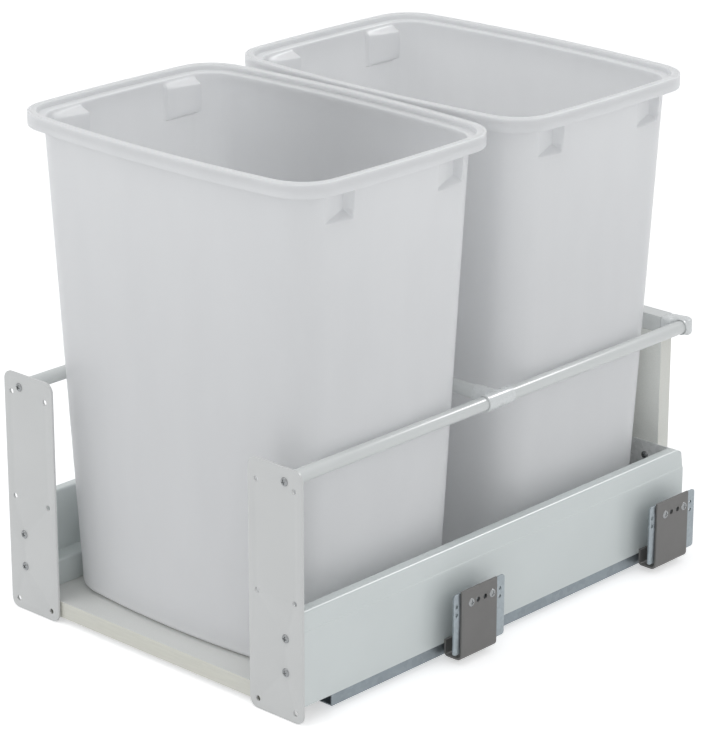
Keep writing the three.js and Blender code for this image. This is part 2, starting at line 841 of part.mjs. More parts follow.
// A quarter of a bowed rounded rectangle, from the middle of one side to the middle of the next.
function ringQuarter(halfA, halfB, bowA, bowB, corner) {
  const a = halfA - bowA - corner;
  const b = halfB - bowB - corner;
  const points = [];
  for (let i = 0; i < bowSteps; i += 1) {
    const t = i / bowSteps;
    points.push([halfA - bowA * t * t, b * t]);
  }
  for (let i = 0; i <= cornerSteps; i += 1) {
    const angle = (i / cornerSteps) * (Math.PI / 2);
    points.push([a + corner * Math.cos(angle), b + corner * Math.sin(angle)]);
  }
  for (let i = bowSteps - 1; i > 0; i -= 1) {
    const t = i / bowSteps;
    points.push([a * t, halfB - bowB * t * t]);
  }
  return points;
}

function ring(halfX, halfY, corner, z) {
  const odd = ringQuarter(halfX, halfY, binBowX, binBowY, corner);
  const even = ringQuarter(halfY, halfX, binBowY, binBowX, corner);
  return [
    ...odd,
    ...even.map(([a, b]) => [-b, a]),
    ...odd.map(([a, b]) => [-a, -b]),
    ...even.map(([a, b]) => [b, -a]),
  ].map(([x, y]) => [x, y, z]);
}

// The skin over a list of rings, closed by a flat cap at each end.
function loft(rings) {
  const count = rings[0].length;
  const last = rings.length - 1;
  const positions = rings.flat(2);
  const index = [];
  for (let r = 0; r < last; r += 1) {
    for (let i = 0; i < count; i += 1) {
      const a = r * count + i;
      const b = r * count + ((i + 1) % count);
      index.push(a, b, b + count, a, b + count, a + count);
    }
  }
  const foot = positions.length / 3;
  positions.push(0, 0, rings[0][0][2], 0, 0, rings[last][0][2]);
  for (let i = 0; i < count; i += 1) {
    const next = (i + 1) % count;
    index.push(foot, next, i, foot + 1, last * count + i, last * count + next);
  }
  const geometry = new THREE.BufferGeometry();
  geometry.setAttribute('position', new THREE.Float32BufferAttribute(positions, 3));
  geometry.setIndex(index);
  return geometry;
}

const bodyTopX = binWidth / 2 - binRimOut;
const bodyTopY = binDepth / 2 - binRimOut;
const lipLowZ = binHeight - binRimHeight;

// The bin's tapering body at a height over its base, moved in by an inset.
function bodyRing(z, inset) {
  const t = z / binHeight;
  const at = (low, high) => low + (high - low) * t - inset;
  return ring(
    at(binBaseWidth / 2, bodyTopX), at(binBaseDepth / 2, bodyTopY), at(binBaseCorner, binTopCorner), z);
}

const rimRing = (z, inset) =>
  ring(binWidth / 2 - inset, binDepth / 2 - inset, binRimCorner - inset, z);

// Shares of the foot's height and inset, from the base upwards.
const footCurve = [[0, 1], [0.3, 0.29], [1, 0]];

// A notch's space: a floor that deepens towards the rear, and a sloping lower end. Grown, it is the space
// that the notch and its wall take from the inside.
function notch(y, growth) {
  const wallX = bodyTopX - binBowX;
  const clearX = wallX + binRimOut / 2;
  const y0 = y - notchLength / 2 - growth;
  const y1 = y + notchLength / 2 + growth;
  const low = lipLowZ - notchHeight - growth;
  const top = lipLowZ + notchLap + growth;
  const deepX = wallX - notchDeep - growth;
  const plan = alongZ(polygon([
    [clearX, y0], [clearX, y1], [deepX, y1], [wallX - notchShallow - growth, y0]]), low, top);
  const slope = alongY(polygon([
    [clearX, low], [clearX, top], [deepX - 1, top], [deepX - 1, low + notchSlope], [wallX, low]]),
  y0 - 1, y1 + 1);
  return common(plan, slope);
}

function bin() {
  const plateLow = binHeight - binRimPlate;
  const outside = loft([
    ...footCurve.map(([rise, inset]) => bodyRing(binFoot * rise, binFoot * inset)),
    bodyRing(plateLow, 0),
    rimRing(plateLow, binRimWall),
    rimRing(lipLowZ, binRimWall),
    rimRing(lipLowZ, 0),
    rimRing(binHeight - binEdge, 0),
    rimRing(binHeight, binEdge),
  ]);
  const stepZ = binHeight - rimStepDepth;
  const inside = loft([
    ...footCurve.map(([rise, inset]) => bodyRing(binWall + binFoot * rise, binWall + binFoot * inset)),
    bodyRing(stepZ, binWall),
    bodyRing(stepZ, binWall - rimStepWidth),
    bodyRing(binHeight + 1, binWall - rimStepWidth),
  ]);
  const places = [-notchAt, notchAt];
  const both = (growth) => places.flatMap((y) => [notch(y, growth), mirrored(notch(y, growth))]);
  return cut(cut(outside, ...both(0)), cut(inside, ...both(binWall)));
}

const binGeometry = bin();
piece('front_bin', binGeometry, binPlastic, [0, frontBinY, boardTop + fit]);
piece('rear_bin', binGeometry, binPlastic, [0, rearBinY, boardTop + fit]);

export default unit;
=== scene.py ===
# %% [markdown]
# # A pull-out waste unit for a kitchen cabinet
#
# Two tall plastic bins stand on a board between folded steel sides, which run on telescopic runners. The
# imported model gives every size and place, in metres. This lesson gives each piece its fine shape and finish.

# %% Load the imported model
import json
import math

import bmesh
import bpy
from mathutils import Matrix, Vector

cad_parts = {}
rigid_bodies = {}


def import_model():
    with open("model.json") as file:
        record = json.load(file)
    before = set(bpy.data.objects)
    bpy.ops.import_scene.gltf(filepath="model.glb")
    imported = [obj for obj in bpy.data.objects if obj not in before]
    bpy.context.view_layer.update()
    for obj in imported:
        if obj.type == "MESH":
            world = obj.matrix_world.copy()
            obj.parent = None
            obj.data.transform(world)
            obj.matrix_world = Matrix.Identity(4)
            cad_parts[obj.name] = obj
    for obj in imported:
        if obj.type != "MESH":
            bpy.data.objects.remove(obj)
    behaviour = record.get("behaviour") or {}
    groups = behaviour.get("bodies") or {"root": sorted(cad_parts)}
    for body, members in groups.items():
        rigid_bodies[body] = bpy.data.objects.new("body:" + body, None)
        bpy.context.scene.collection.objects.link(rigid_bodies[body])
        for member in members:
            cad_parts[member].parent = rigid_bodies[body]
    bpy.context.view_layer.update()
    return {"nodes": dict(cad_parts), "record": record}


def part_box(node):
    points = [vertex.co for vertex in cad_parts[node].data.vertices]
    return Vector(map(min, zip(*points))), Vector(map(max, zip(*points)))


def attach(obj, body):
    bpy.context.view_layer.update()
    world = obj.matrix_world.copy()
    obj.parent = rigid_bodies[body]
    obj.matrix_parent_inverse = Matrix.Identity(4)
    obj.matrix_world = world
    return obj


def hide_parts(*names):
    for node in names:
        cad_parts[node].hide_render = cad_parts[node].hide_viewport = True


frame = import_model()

NODES = frame["nodes"]
BODY_OF = {n: body for body, names in frame["record"]["behaviour"]["bodies"].items() for n in names}

# %% [markdown]
# ## Two units of length
#
# The pieces below are drawn in millimetres, with y = 0 at the front faces of the door plates, because that
# is how a fitter would measure the unit. One matrix turns such a drawing into the model's metres. A piece
# could also be moved and scaled as an object, but then its patterns would scale with it, so the matrix is
# applied to the mesh and the object stays at the origin.

# %% From the drawing to the model
DRAWING_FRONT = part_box("right_door_bracket")[0].y
TO_MODEL = Matrix.Translation((0, DRAWING_FRONT, 0)) @ Matrix.Scale(0.001, 4)
TO_DRAWING = TO_MODEL.inverted()


def drawn_box(node):
    """The two corners of a node's box, in the drawing's millimetres."""
    return [TO_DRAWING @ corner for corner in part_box(node)]


print("front faces of the door plates at y", round(DRAWING_FRONT, 5))

# %% [markdown]
# ## The camera
#
# The photograph was taken from the right, a little above the bins, with a long lens. A camera could be set
# by eye. This one was fitted to the plates' holes, the rails and the bins' rims, so that lines fall where
# they fall in the photograph.

# %% Set the camera
AZIMUTH, ELEVATION = math.radians(43.124), math.radians(19.834)
back = Vector((
    math.sin(AZIMUTH) * math.cos(ELEVATION), -math.cos(AZIMUTH) * math.cos(ELEVATION), math.sin(ELEVATION)))
lens = bpy.data.cameras.new("photo_lens")
lens.sensor_width, lens.lens = 36.0, 157.8
lens.clip_start, lens.clip_end = 0.05, 60.0
camera = bpy.data.objects.new("photo_camera", lens)
camera.location = (1.9201, -2.0644, 1.2287)
camera.rotation_mode = "QUATERNION"
camera.rotation_quaternion = (-back).to_track_quat("-Z", "Y")
scene = bpy.context.scene
scene.collection.objects.link(camera)
scene.camera = camera
scene.view_settings.view_transform = "Standard"
print("camera", lens.lens, "mm lens")

# %% [markdown]
# ## Node trees as expressions
#
# A node tree can be wired by hand, socket by socket, but its maths is then hard to read. Here a small class
# wraps a socket, so that `1 - mask` adds a Math node, and one method makes every other kind of node.


# %% Wrap a socket
class Value:
    """A socket that can stand in a Python expression."""

    def __init__(self, graph, socket):
        self.graph, self.socket = graph, socket

    def other(self, name):
        """Another output of the same node."""
        return Value(self.graph, self.socket.node.outputs[name])

    def _math(self, operation, a, b):
        return self.graph.node("ShaderNodeMath", {"operation": operation}, {0: a, 1: b})

    def __add__(self, b):
        return self._math("ADD", self, b)

    def __radd__(self, b):
        return self._math("ADD", b, self)

    def __sub__(self, b):
        return self._math("SUBTRACT", self, b)

    def __rsub__(self, b):
        return self._math("SUBTRACT", b, self)

    def __mul__(self, b):
        return self._math("MULTIPLY", self, b)

    def __rmul__(self, b):
        return self._math("MULTIPLY", b, self)

    def __gt__(self, b):
        return self._math("GREATER_THAN", self, b)

    def __or__(self, b):
        """The larger of the two, which is 'either' for masks."""
        return self._math("MAXIMUM", self, b)

    def between(self, low, high):
        """0 at low and 1 at high, with a smooth way between."""
        return self.graph.node("ShaderNodeMapRange", {"interpolation_type": "SMOOTHSTEP"}, {
            "Value": self, "From Min": low, "From Max": high})


print("socket class ready")


# %% Build a tree
class Graph:
    """A node tree, and the one method that puts nodes into it."""

    def __init__(self, tree):
        self.tree = tree
        tree.nodes.clear()

    def node(self, kind, settings=None, sockets=None, output=0):
        made = self.tree.nodes.new(kind)
        for name, setting in (settings or {}).items():
            setattr(made, name, setting)
        for key, given in (sockets or {}).items():
            for value in given if isinstance(given, list) else [given]:
                if isinstance(value, Value):
                    self.tree.links.new(value.socket, made.inputs[key])
                else:
                    made.inputs[key].default_value = value
        outputs = made.outputs
        return Value(self, outputs[output]) if len(outputs) else made


print("tree class ready")

# %% [markdown]
# ## The studio
#
# The unit stands on a pale floor in soft light. White surroundings could be had by turning the lamps up, but
# that would bleach the pale plastic. So the lamps stay at the level where a colour renders as it is
# written, and only the rays that come straight from the camera, or off a mirror or through glass, see the
# surroundings as white. The floor still takes the unit's shadow. One small lamp behind the unit lights nothing
# by itself. It only shows in glossy surfaces, as the bright line that runs along each rail and fold.


# %% Light the world
def sees_white(graph):
    """1 for the rays that see white surroundings: from the camera, off a mirror or through glass."""
    ray = graph.node("ShaderNodeLightPath")
    return ray.other("Is Camera Ray") | (ray.other("Is Glossy Ray") | ray.other("Is Transmission Ray"))


world = bpy.data.worlds.new("studio")
world.use_nodes = True
scene.world = world
sky = Graph(world.node_tree)
AMBIENT = 0.70
soft = sky.node("ShaderNodeBackground", {}, {"Color": (0.97, 0.985, 1.0, 1), "Strength": AMBIENT})
plain = sky.node("ShaderNodeBackground", {}, {"Color": (1, 1, 1, 1), "Strength": 1.0})
mixed = sky.node("ShaderNodeMixShader", {}, {0: sees_white(sky), 1: soft, 2: plain})
sky.node("ShaderNodeOutputWorld", {}, {"Surface": mixed})
print("ambient light", AMBIENT)


# %% Hang the lamps
def softbox(name, place, size, watts):
    """A square area lamp that faces the middle of the bins."""
    light = bpy.data.lights.new(name, "AREA")
    light.shape, light.size, light.energy = "SQUARE", size, watts
    lamp = bpy.data.objects.new(name, light)
    lamp.location = place
    lamp.rotation_mode = "QUATERNION"
    lamp.rotation_quaternion = (LAMP_AIM - Vector(place)).to_track_quat("-Z", "Y")
    scene.collection.objects.link(lamp)
    return lamp


LAMP_AIM = Vector((0, 0, 0.2))
key = softbox("key_softbox", (-1.3, -2.6, 2.2), 1.6, 7)
side = softbox("side_softbox", (3.0, 0.6, 1.8), 1.6, 6)
top = softbox("top_softbox", (-0.2, -1.1, 3.2), 1.4, 6)
streak = softbox("streak_softbox", (0.65, 2.2, 2.4), 0.4, 42)
streak.visible_diffuse = False
print("lamp watts", [lamp.data.energy for lamp in (key, side, top, streak)])

# %% Lay the floor
floor_material = bpy.data.materials.new("studio_floor")
floor_material.use_nodes = True
paving = Graph(floor_material.node_tree)
grey = paving.node("ShaderNodeBsdfDiffuse", {}, {"Color": (0.9, 0.9, 0.9, 1)})
glow = paving.node("ShaderNodeEmission", {}, {"Color": (1, 1, 1, 1), "Strength": 0.5})
lit = paving.node("ShaderNodeAddShader", {}, {0: grey, 1: glow})
mixed = paving.node("ShaderNodeMixShader", {}, {0: sees_white(paving), 1: grey, 2: lit})
paving.node("ShaderNodeOutputMaterial", {}, {"Surface": mixed})
floor_mesh = bpy.data.meshes.new("studio_floor")
HALF_FLOOR, FLOOR_Z = 6, -0.0004  # just under the lowest piece, so that the two never share a plane
floor_corners = [(x, y, FLOOR_Z) for x, y in ((-1, -1), (1, -1), (1, 1), (-1, 1))]
floor_corners = [(x * HALF_FLOOR, y * HALF_FLOOR, z) for x, y, z in floor_corners]
floor_mesh.from_pydata(floor_corners, [], [(0, 1, 2, 3)])
floor_mesh.materials.append(floor_material)
floor = bpy.data.objects.new("studio_floor", floor_mesh)
scene.collection.objects.link(floor)
print("floor laid")

# %% [markdown]
# ## A finish
#
# Each finish starts from one shader. What is the same all over is written on the shader's own socket, and
# what changes over the surface is an expression of noise in the piece's own space. Image textures could do
# it too, but they would need unwrapping and would blur from close by.

# %% The finish class
MM_PER_M = 1000.0


class Finish(Graph):
    """A material with helpers for patterns that are measured in millimetres on the piece."""

    def __init__(self, name, **constants):
        self.material = bpy.data.materials.new(name)
        self.material.use_nodes = True
        super().__init__(self.material.node_tree)
        self.shader = self.tree.nodes.new("ShaderNodeBsdfPrincipled")
        self.node("ShaderNodeOutputMaterial", {}, {"Surface": Value(self, self.shader.outputs[0])})
        for name, constant in constants.items():
            self.shader.inputs[name.replace("_", " ")].default_value = constant
        self.place = self.node("ShaderNodeTexCoord").other("Object")

    def noise(self, size, detail=2.0, stretch=(1, 1, 1)):
        """Noise whose lumps are about size millimetres, longer along an axis by its stretch."""
        scale = tuple(1.0 / s for s in stretch)
        place = self.node("ShaderNodeMapping", {}, {"Vector": self.place, "Scale": scale})
        return self.node("ShaderNodeTexNoise", {"noise_dimensions": "3D"}, {
            "Vector": place, "Scale": MM_PER_M / size, "Detail": detail})

    def cells(self, size):
        """A random level for each cell of about size millimetres."""
        found = self.node("ShaderNodeTexVoronoi", {"feature": "F1"}, {
            "Vector": self.place, "Scale": MM_PER_M / size})
        return self.node("ShaderNodeSeparateColor", {}, {"Color": found.other("Color")})

    def mix(self, amount, low, high):
        """The colour between two colours, or between two other mixes."""
        full = [c if isinstance(c, Value) else (*c, 1) for c in (low, high)]
        return self.node("ShaderNodeMix", {"data_type": "RGBA"}, {0: amount, 6: full[0], 7: full[1]}, output=2)

    def along(self, axis):
        """How far the surface faces along an axis, from 0 to 1."""
        normal = self.node("ShaderNodeTexCoord").other("Normal")
        part = self.node("ShaderNodeSeparateXYZ", {}, {0: normal}).other(axis)
        return part * part

    def varies(self, socket, value):
        """Joins what changes over the surface to the shader."""
        self.tree.links.new(value.socket, self.shader.inputs[socket])

    def bump(self, height, depth):
        """A relief of about depth millimetres."""
        relief = self.node("ShaderNodeBump", {}, {"Distance": depth / MM_PER_M, "Height": height})
        self.varies("Normal", relief)


def shade(colour, factor):
    """A colour made lighter or darker by a factor."""
    return tuple(min(1.0, c * factor) for c in colour)


print("finish class ready")

# %% [markdown]
# ## Powder coat
#
# The folded sides, the door plates and the rails are steel with a light grey powder coat. Baked powder flows
# into a fine orange peel. The peel could be modelled, but it is far too fine. It is noise of a millimetre and
# a half with a very low relief, and a slower cloud moves the gloss a little, as uneven film thickness does.


# %% Powder coat finishes
def powder_coat(name, colour):
    coat = Finish(name, IOR=1.5)
    peel = coat.noise(1.5, detail=2.0)
    cloud = coat.noise(70.0, detail=2.0)
    pits = coat.noise(0.45, detail=0.0).between(0.68, 0.76)
    tone = coat.mix(cloud.between(0.3, 0.7), shade(colour, 0.985), shade(colour, 1.012))
    coat.varies("Base Color", coat.mix(pits * 0.2, tone, shade(colour, 0.88)))
    coat.varies("Roughness", 0.26 + cloud * 0.03 + peel * 0.04)
    coat.bump(peel, 0.008)
    return coat.material


plate_coat = powder_coat("plate_powder_coat", (0.690, 0.697, 0.690))
side_coat = powder_coat("side_powder_coat", (0.735, 0.780, 0.773))
rail_coat = powder_coat("rail_powder_coat", (0.735, 0.755, 0.748))
print("powder coats", plate_coat.name, side_coat.name, rail_coat.name)

# %% [markdown]
# ## Laminated board
#
# The bottom board and the back panel are pressed board with a light grey laminate and a creamier band on
# their edges. The two could be two materials, but one material that asks which way the surface faces keeps
# the band on the edges by itself.


# %% Laminate finishes
def laminate(name, face_axis, face, band):
    board = Finish(name, IOR=1.5)
    speck = board.noise(0.7, detail=3.0)
    cloud = board.noise(45.0, detail=3.0)
    grain = board.noise(1.2, detail=2.0, stretch=(14, 1, 1))
    facing = board.along(face_axis) > 0.5
    surface = board.mix(speck.between(0.35, 0.7), shade(face, 0.95), shade(face, 1.03))
    edge = board.mix(grain.between(0.3, 0.7), shade(band, 0.97), shade(band, 1.02))
    both = board.mix(facing, edge, surface)
    board.varies("Base Color", board.mix(cloud.between(0.45, 0.8) * 0.3, both, shade(face, 0.93)))
    board.varies("Roughness", 0.5 + cloud * 0.08 + speck * 0.1)
    board.bump(speck, 0.025)
    return board.material


board_laminate = laminate("board_laminate", "Z", (0.76, 0.765, 0.745), (0.765, 0.76, 0.685))
panel_laminate = laminate("panel_laminate", "Y", (0.93, 0.94, 0.90), (0.80, 0.80, 0.75))
print("laminates", board_laminate.name, panel_laminate.name)

# %% [markdown]
# ## Galvanised steel
#
# The runners and the plates on the cabinet wall are zinc coated. Rolled zinc shows long faint lines, and
# small patches that take the light differently. A photograph of zinc would repeat from piece to piece. Here
# the lines are noise stretched along the piece and the patches are cells. The angles at the back have a
# paler, duller coat than the rest.


# %% Galvanised finishes
def galvanised(name, colour, stretch, patches=5.0, metallic=0.82):
    metal = Finish(name, Metallic=metallic)
    lines = metal.noise(0.8, detail=3.0, stretch=stretch)
    cell = metal.cells(patches)
    cloud = metal.noise(25.0, detail=3.0)
    tone = metal.mix(cell * 0.55 + lines * 0.45, shade(colour, 0.84), shade(colour, 1.16))
    metal.varies("Base Color", metal.mix(cloud.between(0.5, 0.8) * 0.5, tone, shade(colour, 0.88)))
    metal.varies("Roughness", 0.3 + cell * 0.1 + lines * 0.1)
    metal.bump(lines, 0.012)
    return metal.material


runner_zinc = galvanised("runner_zinc", (0.26, 0.295, 0.32), (1, 60, 1))
wall_zinc = galvanised("wall_zinc", (0.33, 0.37, 0.395), (1, 1, 40), patches=3.0)
angle_zinc = galvanised("angle_zinc", (0.86, 0.88, 0.87), (1, 1, 40), patches=4.0, metallic=0.0)
print("zinc finishes", runner_zinc.name, wall_zinc.name, angle_zinc.name)

# %% [markdown]
# ## Dark paint, bright screws
#
# The wall brackets have a thin grey-brown paint. The screws and balls are plated or polished steel. Their look
# is all reflection, so their colour only says how much of the white room comes back. A mirror would look
# wrong on a used screw, so the surface is slightly rough.

# %% Paint and steel finishes
taupe = Finish("bracket_taupe_paint", IOR=1.5)
grit = taupe.noise(0.5, detail=2.0)
cloud = taupe.noise(18.0, detail=3.0)
TAUPE = (0.175, 0.170, 0.165)
taupe.varies("Base Color", taupe.mix(cloud * 0.7 + grit * 0.3, shade(TAUPE, 0.9), shade(TAUPE, 1.1)))
taupe.varies("Roughness", 0.42 + grit * 0.1)
taupe.bump(grit, 0.02)

bright = Finish("screw_bright_steel", Metallic=1.0)
turning = bright.noise(0.35, detail=2.0)
bright.varies("Base Color", bright.mix(turning, (0.22, 0.23, 0.235), (0.36, 0.37, 0.375)))
bright.varies("Roughness", 0.2 + turning * 0.14)

ball_steel = Finish("ball_steel", Metallic=1.0)
haze = ball_steel.noise(2.0, detail=2.0)
ball_steel.varies("Base Color", ball_steel.mix(haze, (0.56, 0.57, 0.58), (0.64, 0.65, 0.66)))
ball_steel.varies("Roughness", 0.1 + haze * 0.1)
print("paint and steel ready")

# %% [markdown]
# ## Moulded plastic
#
# The bins are smooth polypropylene, white and a little see-through. Light that enters the wall comes out
# again some millimetres off, also on the other side of it, which keeps the inside of a bin bright. A mix
# with a translucent shader could do that for one thin sheet. The wall here is a closed solid, so the
# shader's own subsurface scattering is used. A slow cloud in the colour shows how the plastic flowed into
# the mould.


# %% Plastic finishes
def moulded(name, colour, gloss, texture, **constants):
    plastic = Finish(name, **constants)
    grain = plastic.noise(texture, detail=2.0)
    flow = plastic.noise(55.0, detail=2.0, stretch=(1, 1, 3))
    haze = plastic.noise(8.0, detail=3.0)
    plastic.varies("Base Color", plastic.mix(
        flow.between(0.25, 0.75) * 0.8 + haze * 0.2, shade(colour, 0.978), shade(colour, 1.015)))
    plastic.varies("Roughness", gloss + haze * 0.06 + grain * 0.05)
    plastic.bump(grain, 0.012)
    return plastic.material


bin_plastic = moulded("bin_polypropylene", (0.905, 0.913, 0.925), 0.34, 0.9, IOR=1.49, **{
    "Subsurface Weight": 0.7, "Subsurface Radius": (1.0, 1.0, 1.0), "Subsurface Scale": 0.022})
rail_plastic = moulded("rail_moulding", (0.79, 0.81, 0.81), 0.22, 0.7, IOR=1.5)
cage_plastic = moulded("cage_moulding", (0.50, 0.54, 0.55), 0.4, 0.6, IOR=1.5)
print("plastics", bin_plastic.name, rail_plastic.name, cage_plastic.name)

# %% [markdown]
# ## Closed meshes
#
# Every drawn piece is a closed mesh in millimetres, and takes the same last steps: it goes into the model's
# metres, gets its finish and rides on a body. This could be done by hand for each object. Two small
# functions make sure that none is forgotten. The functions that shape a piece come just before the first
# piece that needs them.


# %% Make a mesh
def new_object(name, mesh):
    made = bpy.data.objects.new(name, mesh)
    scene.collection.objects.link(made)
    return made


def repair(mesh, merge):
    """Turns the faces of a mesh outwards, and first merges points that lie closer than a distance."""
    edit = bmesh.new()
    edit.from_mesh(mesh)
    if merge:
        bmesh.ops.remove_doubles(edit, verts=edit.verts, dist=merge)
    bmesh.ops.recalc_face_normals(edit, faces=edit.faces)
    edit.to_mesh(mesh)
    edit.free()


def solid(name, points, faces):
    """A closed mesh from points and faces."""
    mesh = bpy.data.meshes.new(name)
    mesh.from_pydata(points, [], faces)
    repair(mesh, merge=1e-4)
    return new_object(name, mesh)


def smooth(thing, angle=30):
    thing.data.shade_smooth()
    thing.data.set_sharp_from_angle(angle=math.radians(angle))
    return thing


print("mesh maker ready")


# %% Settle a piece
def open_edges(thing):
    """How many edges don't have exactly two faces. A sound solid has none."""
    edit = bmesh.new()
    edit.from_mesh(thing.data)
    count = sum(not e.is_manifold for e in edit.edges)
    edit.free()
    return count


MADE = []


def settle(thing, material, slot, *nodes, body=None):
    """Puts a drawn piece into the model, on the body of the nodes that it stands for."""
    thing.data.transform(TO_MODEL)
    thing.data.materials.clear()
    thing.data.materials.append(material)
    for face in thing.data.polygons:
        face.material_index = 0
    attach(thing, body or BODY_OF[nodes[0]])
    if nodes:
        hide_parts(*nodes)
    MADE.append(thing)
    if open_edges(thing):
        print("open edges on", thing.name, open_edges(thing))


print("settling ready")

# %% [markdown]
# ## The bins
#
# Each bin is one thin wall that tapers to its base, bows out on every side, and folds over into a hollow
# rim. Under the rim each short side has two notches, which hold stacked bins apart. The wall could be cut
# and joined from blocks, but soft moulded forms come out better from one skin. So a row of rings runs up
# the outside, over the rim and down the inside, and near a notch each ring is pressed in.

# %% Sizes of a bin
BIN_HEIGHT, BIN_WALL = 457.0, 2.5
BOW_X, BOW_Y = 2.0, 7.0  # how far the middle of a side stands out past its ends
RIM_X, RIM_Y, RIM_CORNER = 184.5, 133.0, 38.0
BODY_TOP = (172.5, 121.0, 32.0)  # half width, half depth and corner radius
BODY_BASE = (151.0, 110.0, 34.0)
FOOT = 8.0  # the rounding round the base
BASE_RISE = 1.2  # the middle of the base stands this far off the board
LIP_LOW = 444.0  # the rim's lower edge
LIP_UNDER = BIN_HEIGHT - 2.8  # the roof of the hollow inside the rim
SHELF = BIN_HEIGHT - 5.0  # the step inside the rim
print("bin height", BIN_HEIGHT, "rim", 2 * RIM_X, "by", 2 * RIM_Y)

# %% The rings of a bin
# Where a ring has its points: along half a long side, round a corner and along half a short side. They lie
# closest together beside the notches.
SIDE = [0, 0.12, 0.24, 0.36, 0.47, 0.55, 0.6] + [0.62 + 0.0127 * i for i in range(30)]
CORNER = [i / 45 for i in range(10)] + [0.22 + 0.78 * i / 14 for i in range(14)]
END = [1 - i / 10 for i in range(11)]
ARC_HANDLE = 0.5523  # the length of a Bezier handle that makes a quarter of a circle of radius 1


def ring(half_x, half_y, corner, z):
    """A bowed rounded rectangle, from the middle of the right side once round."""
    a, b = half_x - BOW_X - corner, half_y - BOW_Y - corner
    quarter = [(half_x - BOW_X * t * t, b * t) for t in SIDE]
    lean, rise = math.atan(2 * BOW_X / b), math.atan(2 * BOW_Y / a)
    handle = ARC_HANDLE * corner
    p0, p3 = Vector((half_x - BOW_X, b)), Vector((a, half_y - BOW_Y))
    p1 = p0 + Vector((-math.sin(lean), math.cos(lean))) * handle
    p2 = p3 + Vector((math.cos(rise), -math.sin(rise))) * handle
    for u in CORNER:
        v = 1 - u
        p = p0 * v ** 3 + p1 * 3 * v * v * u + p2 * 3 * v * u * u + p3 * u ** 3
        quarter.append((p.x, p.y))
    quarter += [(a * t, half_y - BOW_Y * t * t) for t in END]
    half = quarter + [(-x, y) for x, y in reversed(quarter[1:-1])]
    half.append((-quarter[0][0], 0.0))
    outline = half + [(x, -y) for x, y in reversed(half[1:-1])]
    return [(x, y, z) for x, y in outline]


def body_ring(z, inset=0.0):
    t = z / BIN_HEIGHT
    half_x, half_y, corner = (low + (high - low) * t - inset for low, high in zip(BODY_BASE, BODY_TOP))
    return ring(half_x, half_y, corner, z)


def rim_ring(z, inset=0.0):
    return ring(RIM_X - inset, RIM_Y - inset, RIM_CORNER - inset, z)


def shelf_ring(z, inset):
    """A ring between the rim's outside and the body, as far in as the inset."""
    share = inset / (RIM_X - BODY_TOP[0])
    return [tuple(a + (b - a) * share for a, b in zip(p, q)) for p, q in zip(rim_ring(z), body_ring(z))]


print("columns in a ring", len(body_ring(100.0)))

# %% Press the notches
NOTCHES = (-70.0, 70.0)
NOTCH_HALF, NOTCH_TALL = 16.0, 30.0
NOTCH_SHALLOW, NOTCH_DEEP = 3.0, 12.0  # at its front and at its rear
NOTCH_SLOPE = 6.5  # the height of the slope under it
NOTCH_EDGE = 1.1  # half the width of its soft edge
NOTCH_WALL = BODY_TOP[0] - BOW_X


def smooth_step(value, low, high):
    """0 below low and 1 above high, with a smooth way between."""
    t = min(1.0, max(0.0, (value - low) / (high - low)))
    return t * t * (3 - 2 * t)


def pressed(points, growth=0.0):
    """Presses the notches into a ring. Growth is the wall's thickness for the inner skin."""
    low = LIP_LOW - NOTCH_TALL - growth
    result = []
    for x, y, z in points:
        for notch in NOTCHES:
            start, end = notch - NOTCH_HALF - growth, notch + NOTCH_HALF + growth
            across = smooth_step(y, start - NOTCH_EDGE, start + NOTCH_EDGE)
            across *= 1 - smooth_step(y, end - NOTCH_EDGE, end + NOTCH_EDGE)
            up = smooth_step(z, low - 0.5, low + 1.5)
            up *= 1 - smooth_step(z, LIP_LOW - 3 + growth, LIP_LOW + 3.2 + growth)
            if across * up <= 0:
                continue
            ramp = NOTCH_SHALLOW + (NOTCH_DEEP - NOTCH_SHALLOW) * (y - start) / (end - start) + growth
            slope = max(0.0, (z - low) * (NOTCH_DEEP + growth) / NOTCH_SLOPE)
            target = NOTCH_WALL - min(ramp, slope)
            press = max(0.0, abs(x) - target) * across * up
            x = math.copysign(abs(x) - press, x)
        result.append((x, y, z))
    return result


print("notches at", NOTCHES)

# %% The rows of rings
ROW_GAP = 1.15  # between the rings beside a notch
RIM_EDGE = 0.8  # the rounding of the rim's upper edge


